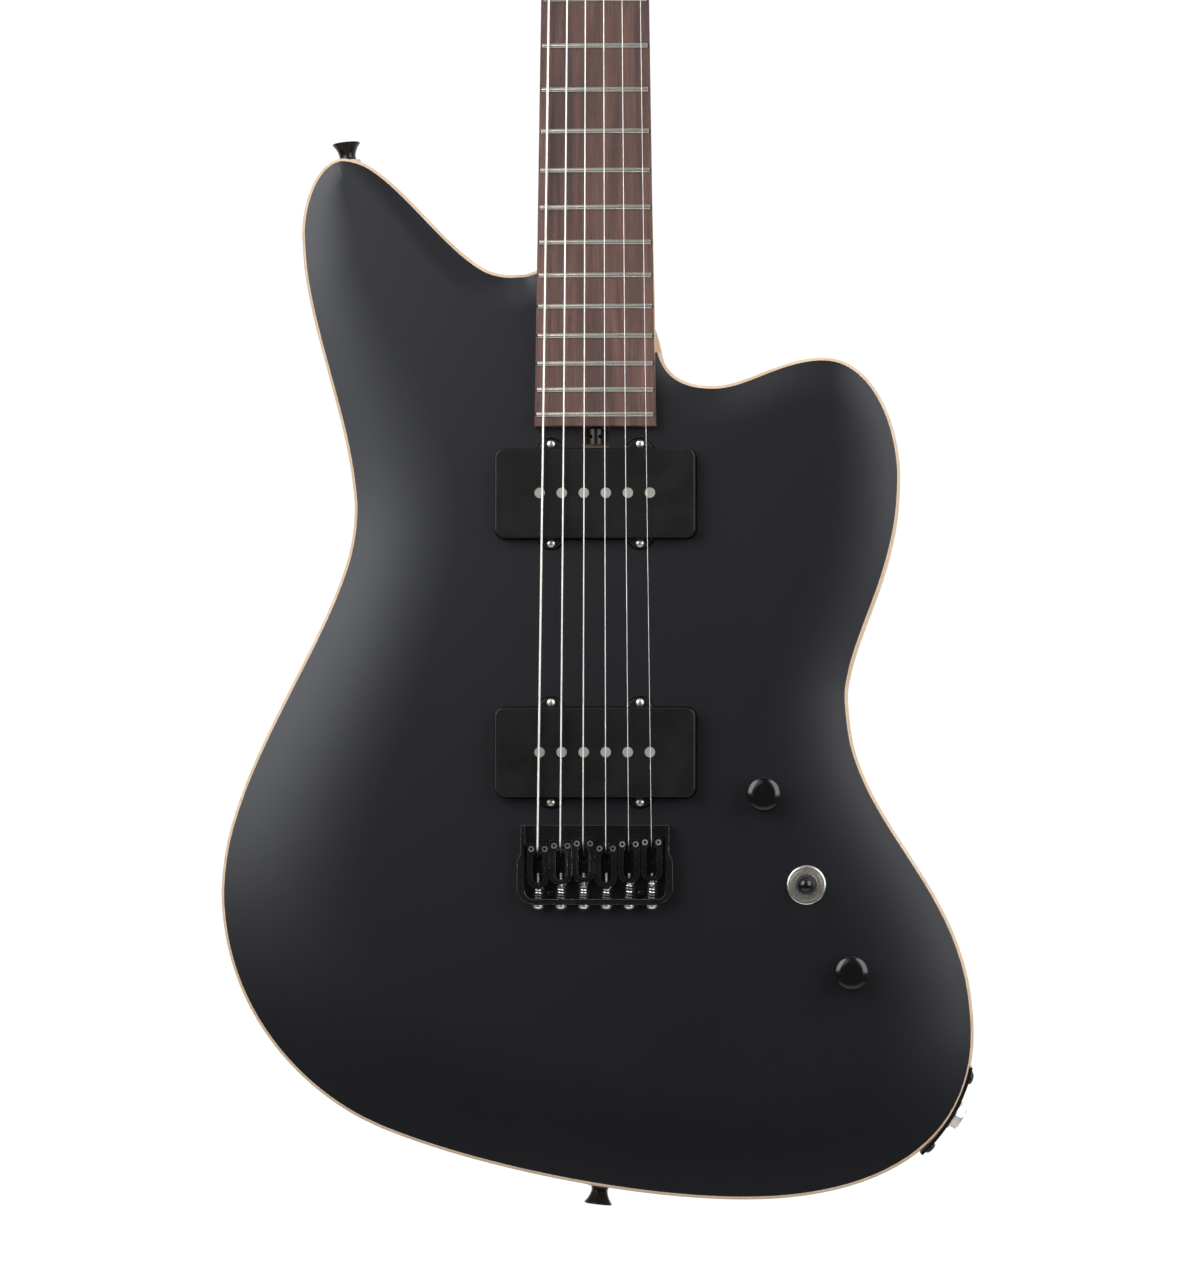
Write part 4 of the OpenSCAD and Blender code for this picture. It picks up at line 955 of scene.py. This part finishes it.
def make_mounting_screws():
    """Screws of the jack plate, rear cover, bridge tray, neck, strap buttons and tuners."""
    jack = pan_head(2.9, 1.6, 1.15, 18)
    cover = flush_head(2.8, 1.4, 1.05, 13)
    tray = pan_head(2.2, 1, 1.25, 20)
    neck = flush_head(4.5, 2.4, 1.65, 38)
    strap = flush_head(4.1, 2.8, 1.55, 32)
    tuner = pan_head(1.9, 1.1, 0.75, 8)
    shape = Shape()
    for side in (-1, 1):
        for end in (-1, 1):
            shape.add(jack, jack_matrix(side * JACK_SCREW_AT[0], JACK_PLATE, end * JACK_SCREW_AT[1]))
    for x, y in cover_screw_places():
        shape.add(cover, placed((x, y, BACK_Z), (0, 0, -1)))
    for x, y in TRAY_SCREWS:
        shape.add(tray, placed((x, y, TRAY_FLOOR)))
    for x, y in NECK_SCREWS:
        shape.add(neck, placed((x, y, BACK_Z + 0.9), (0, 0, -1)))
    for matrix in strap_matrices():
        shape.add(strap, matrix @ Matrix.Translation((0, 0, STRAP_HEIGHT)))
    for k in STRINGS:
        shape.add(tuner, tuner_matrix(k, *TUNER_SCREW_AT, HEAD_BACK - 1.2))
    piece = shape.object("mounting_screw_set", [BLACK_PLATED])
    return finish(piece, ROOT, "black_metal", "mounting_screws")


# ---- Pickups ----
def make_pickup_cover(name, y, height):
    """Soapbar cover, hollow from below, with four ears."""
    wall = 1.5
    outside = rounded_rectangle(COVER_LENGTH, COVER_WIDTH, COVER_CORNER, (0, y))
    inside = rounded_rectangle(COVER_LENGTH - 2 * wall, COVER_WIDTH - 2 * wall, 3, (0, y))
    top = slab(outside, PICKUP_SEAT, height, 1.0, 5)
    cover = Shape().add(top).object(name + "_shell", [PLASTIC])
    ears = Shape()
    for at in four_places(y, EAR_AT):
        ears.add(slab(circle(EAR_RADIUS, 40, at), PICKUP_SEAT, EAR_TOP, 0.6))
    boolean(cover, ears, "UNION")
    boolean(cover, Shape().add(slab(inside, PICKUP_SEAT - 1, height - wall)))
    smooth(cover, 30)
    return finish(weighted(cover), ROOT, "black_plastic", name)


# ---- Strings ----
def tube(path, radius, sides=12):
    """Round line through the points, its bends mitred."""
    points = [Vector(p) for p in path]
    rings, across = [], None
    for i, point in enumerate(points):
        before = (points[max(i, 1)] - points[max(i, 1) - 1]).normalized()
        after = (points[min(i, len(points) - 2) + 1] - points[min(i, len(points) - 2)]).normalized()
        along = (before + after).normalized()
        if across is None:
            across = along.orthogonal().normalized()
        across = (across - along * across.dot(along)).normalized()
        other = along.cross(across)
        rings.append([point + radius * (math.cos(2 * math.pi * s / sides) * across
                                        + math.sin(2 * math.pi * s / sides) * other) for s in range(sides)])
    return skin(rings)


def bent(path, corner, bend, steps=6):
    """The path with its corner point rounded off over the length bend."""
    a, b, c = (Vector(path[i]) for i in (corner - 1, corner, corner + 1))
    start, end = b + (a - b).normalized() * bend, b + (c - b).normalized() * bend
    shares = [j / steps for j in range(steps + 1)]
    arc = [(1 - t) ** 2 * start + 2 * t * (1 - t) * b + t * t * end for t in shares]
    return [Vector(p) for p in path[:corner]] + arc + [Vector(p) for p in path[corner + 1:]]


def break_point(k):
    """Top of the string's bend over its saddle."""
    y = SADDLE_Y[k - 1] - NUB_LENGTH
    return Vector((bridge_x(k), y, STRING_HEIGHT - crown(bridge_x(k)) + STRING_RADIUS[k - 1]))


def nut_point(k):
    """Middle of the string in its slot at the nut."""
    return Vector((nut_x(k), SCALE_LENGTH, NUT_SLOT_Z - crown(nut_x(k)) + STRING_RADIUS[k - 1]))


def split_point(k):
    """Where a string's rear part meets its front part, just in front of its bend over the saddle."""
    start, end = break_point(k), nut_point(k)
    return start + (end - start).normalized() * LEAD


def make_string(k):
    """String in two parts that meet in front of the saddle."""
    radius = STRING_RADIUS[k - 1]
    material = WOUND_STRING if k < 4 else PLAIN_STRING
    over = break_point(k)
    hole = (bridge_x(k), -STRING_HOLE_Y)
    rear_path = [(*hole, BACK_Z + 8.9), (*hole, TRAY_FLOOR + 1), over, split_point(k)]
    rear = bent(bent(rear_path, 2, 0.9), 1, 1.2)
    shape = Shape().add(tube(rear, radius))
    shape.add(lathe([(0.9, 0), (1.9, 0.5), (1.9, 1.8), (0.9, 2.3)], 20), placed((*hole, BACK_Z + 6.6)))
    piece = shape.object(f"string_{k}_rear", [material])
    frame_point(*hole, TRAY_FLOOR)
    frame_point(*over)
    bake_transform(piece)

    end = Vector((string_x(k, post_y(k)), post_y(k), WOUND_Z))
    under_tree = k > 4
    front = [split_point(k), nut_point(k)]
    if under_tree:
        front.append(Vector((string_x(k, TREE_Y), TREE_Y, TREE_Z)))
    front.append(end)
    path = bent(front, 1, 1.2)
    if under_tree:
        path = bent(path, len(path) - 2, 1.5)
    path = path[:-1] + winding_path(k, end)
    piece = Shape().add(tube(path, radius)).object(f"string_{k}_front", [material])
    frame_point(*nut_point(k))
    frame_point(*split_point(k))
    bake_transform(piece)
    if k == 1:
        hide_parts("strings")
    return piece


def winding_path(k, end, turns=3, steps=24):
    """Turns of the string down its post, from the tangent point, ending inside the post."""
    radius = STRING_RADIUS[k - 1]
    reach = POST_RADIUS + radius
    path = []
    for j in range(turns * steps + 1):
        a = 2 * math.pi * j / steps
        drop = 2.1 * radius * j / steps
        path.append(Vector((post_x(k) + reach * math.cos(a), post_y(k) + reach * math.sin(a), end.z - drop)))
    path.append(Vector((post_x(k) + 1, post_y(k) + 1, path[-1].z)))
    return path


def make_spring(k):
    """Coil round an intonation screw, from the tray's rear wall to the saddle."""
    x, radius, wire, pitch, steps = bridge_x(k), 1.9, 0.33, 1.3, 20
    low, high = TRAY_BACK + TRAY_WALL + wire, SADDLE_Y[k - 1] - SADDLE_LENGTH - wire
    turns = round((high - low) / pitch)
    path = []
    for j in range(turns * steps + 1):
        a = 2 * math.pi * j / steps
        y = low + (high - low) * (j / (turns * steps))
        path.append((x + radius * math.cos(a), y, SCREW_Z + radius * math.sin(a)))
    # The coil is brightened nickel: painted light against the tray's shadow.
    piece = Shape().add(tube(path, wire, 8)).object(f"saddle_spring_{k}", [PAINTED_LIGHT_NICKEL])
    frame_point(x, low, SCREW_Z)
    frame_point(x, high, SCREW_Z)
    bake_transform(piece)
    if k == 1:
        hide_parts("saddle_springs")
    return piece


def make_intonation_screw(k):
    """Long screw with a domed head behind the tray, the head in brightened nickel as painted light. Its
    thread inside the spring is painted shade: dark steel that darkens the gaps between the coils.
    """
    screw = f"intonation_screw_{k}"
    matrix = placed((bridge_x(k), TRAY_BACK, SCREW_Z), (0, -1, 0), (0, 0, 1))
    radius, edge, rise = 2.75, 1.0, 1.6
    profile = [(1.0, 0.02), (radius - 0.35, 0.02), (radius, 0.5), (radius, edge)]
    profile += dome(radius, edge, rise, 7, 6)
    head = carved(lathe(profile, 32), *cross_recess(1.7, edge + rise, 1.7))
    shape = Shape().add(head, matrix @ Matrix.Rotation(0.5 * k, 4, "Z"))
    shank, pitch, spring_end = 1.25, 0.5, -8.2
    # Dark thread inside the spring: painted shade in the gaps between the coils.
    shape.add(threaded(shank, pitch, spring_end, 0.01), matrix, 1)
    shape.add(threaded(shank, pitch, -14.5, spring_end), matrix)
    piece = shape.object(f"intonation_screw_turned_{k}", [PAINTED_LIGHT_NICKEL, DARK_STEEL_AND_SHADE])
    return finish(piece, screw, "nickel", screw)


# ---- Controls ----
def make_knob(name, body, at):
    """Smooth knob with a flat top that falls away in a glossy shoulder, hollow from below."""
    radius, low, high = 7.85, 1.0, 16.0
    flat, curve = 3.8, 7.2
    recess, depth = 6.7, 2.6
    profile = [(0, low + depth), (recess, low + depth), (recess, low), (radius - 0.4, low),
               (radius - 0.1, low + 0.1), (radius, low + 0.4), (radius - 0.2, high - 1.5),
               (radius - 0.25, high - 1.2)]
    for j in range(13):
        a = math.radians(30 * (1 - j / 12))
        profile.append((flat + curve * math.sin(a), high - curve * (1 - math.cos(a))))
    profile.append((0, high))
    piece = Shape().add(lathe(profile, 96), placed((*at, 0))).object(name + "_turned", [KNOB])
    return finish(weighted(piece), body, "knob_black", name)


def make_toggle_tip():
    """Domed tip that widens upwards from the lever."""
    radius, straight, rise = 3.65, 7, 2.8
    profile = [(0, 0), (2.4, 0), (2.6, 0.2), (2.75, 1.2), (3.1, 3.6), (radius, straight)]
    profile += dome(radius, straight, rise, 12, 12)
    piece = Shape().add(lathe(profile, 64), placed((*TOGGLE_AT, 11))).object("toggle_tip_turned", [KNOB])
    return finish(weighted(piece), "pickup_toggle", "knob_black", "toggle_tip")


def make_toggle_ring():
    """Dress washer with a raised rim, and the round nut in it."""
    washer = [(4.6, 0), (9.1, 0), (9.1, 0.6), (8.95, 0.8), (8.5, 1.05), (7.6, 1.1), (7.4, 1.0),
              (7.2, 0.6), (6.9, 0.6), (6.7, 0.85), (5.6, 0.9), (4.6, 0.9)]
    nut = [(4.52, 1.12), (5.4, 1.12), (5.4, 2.5), (5.1, 2.9), (4.75, 2.9), (4.52, 2.6)]
    shape = Shape().add(lathe(washer, 96, closed=True), placed((*TOGGLE_AT, 0)))
    shape.add(lathe(nut, 64, closed=True), placed((*TOGGLE_AT, 0)))
    # Washer and nut in darkened nickel: painted shade.
    piece = shape.object("toggle_ring_turned", [SHADED_RING_NICKEL])
    return finish(weighted(piece), ROOT, "nickel", "toggle_ring")


def make_strap_buttons():
    """Two waisted buttons, countersunk for their screws, each on a felt ring."""
    bore = 2.2
    felt_ring = [(bore, 0.01), (5.8, 0.01), (5.95, 0.4), (5.95, 1.1), (5.8, 1.48), (bore, 1.48)]
    button = [(bore, 1.52), (4.0, 1.52), (4.15, 1.7), (4.0, 2.2), (3.75, 3.0), (3.8, 4.0), (4.25, 5.6),
              (5.0, 7.2), (5.9, 8.5), (6.35, 9.0), (6.45, 9.4), (6.3, 9.75), (5.9, STRAP_HEIGHT),
              (4.15, STRAP_HEIGHT), (4.15, 9.6), (bore, 7.4)]
    shape = Shape()
    for matrix in strap_matrices():
        shape.add(lathe(felt_ring, 48, closed=True), matrix, 1)
        shape.add(lathe(button, 64, closed=True), matrix, 0)
    piece = shape.object("strap_buttons_turned", [BLACK_PLATED, FELT])
    return finish(weighted(piece), ROOT, "black_metal", "strap_buttons")


def make_side_dots():
    """Inlaid dots on the edge of the fingerboard that faces the player."""
    shape = Shape()
    dot = lathe([(1.0, -0.3), (1.0, 0.0), (0.9, 0.04)], 24)
    z = (BOARD_TOP + BOARD_BOTTOM) / 2 - 0.6
    for fret in DOTTED_FRETS:
        middle = (fret_y(fret) + fret_y(fret - 1)) / 2
        for shift in (-3.5, 3.5) if fret == 12 else (0,):
            y = middle + shift
            shape.add(dot, placed((-neck_half(y) - 0.02, y, z), (-1, 0, 0), (0, 0, 1)))
    piece = shape.object("side_dots", [DOT])
    return finish(piece, ROOT, "bone")


# ---- CAD pieces that keep their mesh ----
def cad(name, material, bevel=0.0, segments=2, sharp=35.0, edge_material=None):
    """The CAD node itself, with softened edges and its material."""
    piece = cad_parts[name]
    piece.data.materials.clear()
    piece.data.materials.append(material)
    if edge_material:
        piece.data.materials.append(edge_material)
    custom = piece.data.attributes.get("custom_normal")
    if custom:
        piece.data.attributes.remove(custom)
    piece.data.shade_smooth()
    weld = piece.modifiers.new("weld", "WELD")
    weld.merge_threshold = 0.000001
    if bevel:
        edge = piece.modifiers.new("edges", "BEVEL")
        edge.width = bevel * MM
        edge.segments = segments
        edge.limit_method = "ANGLE"
        edge.angle_limit = math.radians(sharp)
        edge.harden_normals = True
        # The edge material paints highlights on the bevelled edges.
        if edge_material:
            edge.material = 1
    return piece


def repaint(piece, material, chosen):
    """Gives another material to the faces whose middle, as x and y of the design, is chosen."""
    piece.data.materials.append(material)
    last = len(piece.data.materials) - 1
    for face in piece.data.polygons:
        if chosen(face.center.x / MM, face.center.z / MM + HANGER_Y):
            face.material_index = last


def make_saddle(k):
    """Saddle with painted highlights on its edges and its two height screws, brighter on the saddles of the
    thin strings; the screws' sockets are painted shade.
    """
    piece = cad(f"saddle_{k}", BLACK_PLATED, 0.26, edge_material=EDGE_HIGHLIGHT)
    grub_y = SADDLE_Y[k - 1] + GRUB_AT[1]

    def from_grub(x, y):
        return min(math.hypot(x - bridge_x(k) - side * GRUB_AT[0], y - grub_y) for side in (-1, 1))

    repaint(piece, STEEL if k < 5 else NICKEL, lambda x, y: from_grub(x, y) < GRUB_RADIUS)
    # Painted shade in the sockets of the height screws.
    repaint(piece, SOCKET_SHADE, lambda x, y: from_grub(x, y) < GRUB_SOCKET)


def dress_cad():
    """Finishes of the CAD pieces that show their own mesh."""
    cad("fingerboard", ROSEWOOD, 0.25)
    cad("frets", FRET_WIRE, 0.12)
    cad("nut", BONE, 0.3)
    cad("truss_rod", DARK_STEEL_AND_SHADE)
    # Black plating, also standing in for the shade in the truss rod slot: partly painted shade.
    cad("truss_rod_nut", BLACK_PLATED, 0.2)
    cad("body_ferrules", NICKEL, 0.2)
    cad("pickup_pole_magnets", MAGNET, 0.2)
    cad("pickup_bobbins", PLASTIC)
    cad("pickup_coils", COPPER)
    # The tray's bevels carry painted edge highlights.
    cad("bridge_plate", BLACK_PLATED, 0.42, 3, edge_material=EDGE_HIGHLIGHT)
    cad("tuner_housings", BLACK_PLATED, 0.6, 3)
    cad("tuner_bushings", BLACK_PLATED, 0.25)
    cad("string_tree", BLACK_PLATED, 0.2)
    cad("volume_pot_shaft", NICKEL)
    cad("tone_pot_shaft", NICKEL)
    cad("potentiometers", STEEL, 0.3)
    cad("toggle_lever", NICKEL)
    # Dark steel here is painted shade in the recess round the lever.
    cad("toggle_switch_body", DARK_STEEL_AND_SHADE, 0.3)
    cad("jack_plate", BLACK_PLATED, 0.4, 3)
    cad("jack_socket", NICKEL, 0.25)
    cad("jack_tip_spring", BRASS)
    cad("control_cover", PLASTIC, 0.3)
    cad("wiring", CLOTH)
    for k in STRINGS:
        make_saddle(k)
        cad(f"tuner_post_{k}", NICKEL, 0.3)
        cad(f"tuner_button_{k}", BLACK_PLATED, 1.2, 4)


# ---- Studio ----
def away_at(turn, rise):
    """Unit vector out of the face, turned to the treble side and raised, in degrees."""
    a, e = math.radians(turn), math.radians(rise)
    return Vector((math.sin(a) * math.cos(e), -math.cos(a) * math.cos(e), math.sin(e)))


def stand(name, data, aim, away, distance):
    """Puts a light or camera at a distance from the point it aims at."""
    thing = bpy.data.objects.new(name, data)
    bpy.context.scene.collection.objects.link(thing)
    thing.location = aim + away * distance
    thing.rotation_euler = away.to_track_quat("Z", "Y").to_euler()
    return thing


def make_surroundings():
    """White all round, bright behind the guitar and dim in front of it."""
    world = bpy.data.worlds.new("studio")
    bpy.context.scene.world = world
    world.use_nodes = True
    tree = world.node_tree
    background = tree.nodes["Background"]
    background.inputs["Color"].default_value = (1, 1, 1, 1)
    coordinates = tree.nodes.new("ShaderNodeTexCoord")
    split = tree.nodes.new("ShaderNodeVectorMath")
    split.operation = "DOT_PRODUCT"
    split.inputs[1].default_value = (0, 1, LIGHT_RISE)
    level = tree.nodes.new("ShaderNodeMapRange")
    names = ("From Min", "From Max", "To Min", "To Max")
    for name, value in zip(names, (*LIGHT_SPAN, FRONT_LIGHT, BACK_LIGHT)):
        level.inputs[name].default_value = value
    tree.links.new(coordinates.outputs["Generated"], split.inputs[0])
    tree.links.new(split.outputs["Value"], level.inputs["Value"])
    tree.links.new(level.outputs["Result"], background.inputs["Strength"])


def make_studio():
    """Surroundings, softboxes and a pale floor under the guitar."""
    scene = bpy.context.scene
    scene.view_settings.view_transform = "Standard"
    scene.view_settings.look = "None"
    make_surroundings()
    for name, turn, rise, power, size in SOFTBOXES:
        lamp = bpy.data.lights.new(name, "AREA")
        lamp.shape = "RECTANGLE"
        lamp.size, lamp.size_y = size
        lamp.energy = power
        stand(name, lamp, Vector((0, 0, VIEW_MIDDLE[2])), away_at(turn, rise), LIGHT_DISTANCE)

    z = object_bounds()[0][2] - FLOOR_DROP
    corners = [(x * FLOOR_REACH, y * FLOOR_REACH, z) for x, y in ((-1, -1), (1, -1), (1, 1), (-1, 1))]
    grey = Nodes("studio_floor").set(Base_Color=(FLOOR_GREY, FLOOR_GREY, FLOOR_GREY, 1), Roughness=0.9)
    floor = Shape().add((corners, [(0, 1, 2, 3)]))
    floor.object("studio_floor", [grey], framed=False)


def make_camera():
    data = bpy.data.cameras.new("camera")
    data.lens = LENS
    data.sensor_width = 36
    data.clip_end = 60
    away = away_at(VIEW_TURN, VIEW_RISE)
    bpy.context.scene.camera = stand("camera", data, Vector(VIEW_MIDDLE), away, VIEW_DISTANCE)


make_camera()
make_body()
make_neck()
make_pickup_cover("neck_pickup_cover", NECK_PICKUP_Y, 9)
make_pickup_cover("bridge_pickup_cover", BRIDGE_PICKUP_Y, 10)
make_pickup_screws()
make_mounting_screws()
for number in STRINGS:
    make_string(number)
    make_spring(number)
    make_intonation_screw(number)
make_knob("volume_knob", "volume_control", VOLUME_AT)
make_knob("tone_knob", "tone_control", TONE_AT)
make_toggle_tip()
make_toggle_ring()
make_strap_buttons()
make_side_dots()
dress_cad()
make_studio()
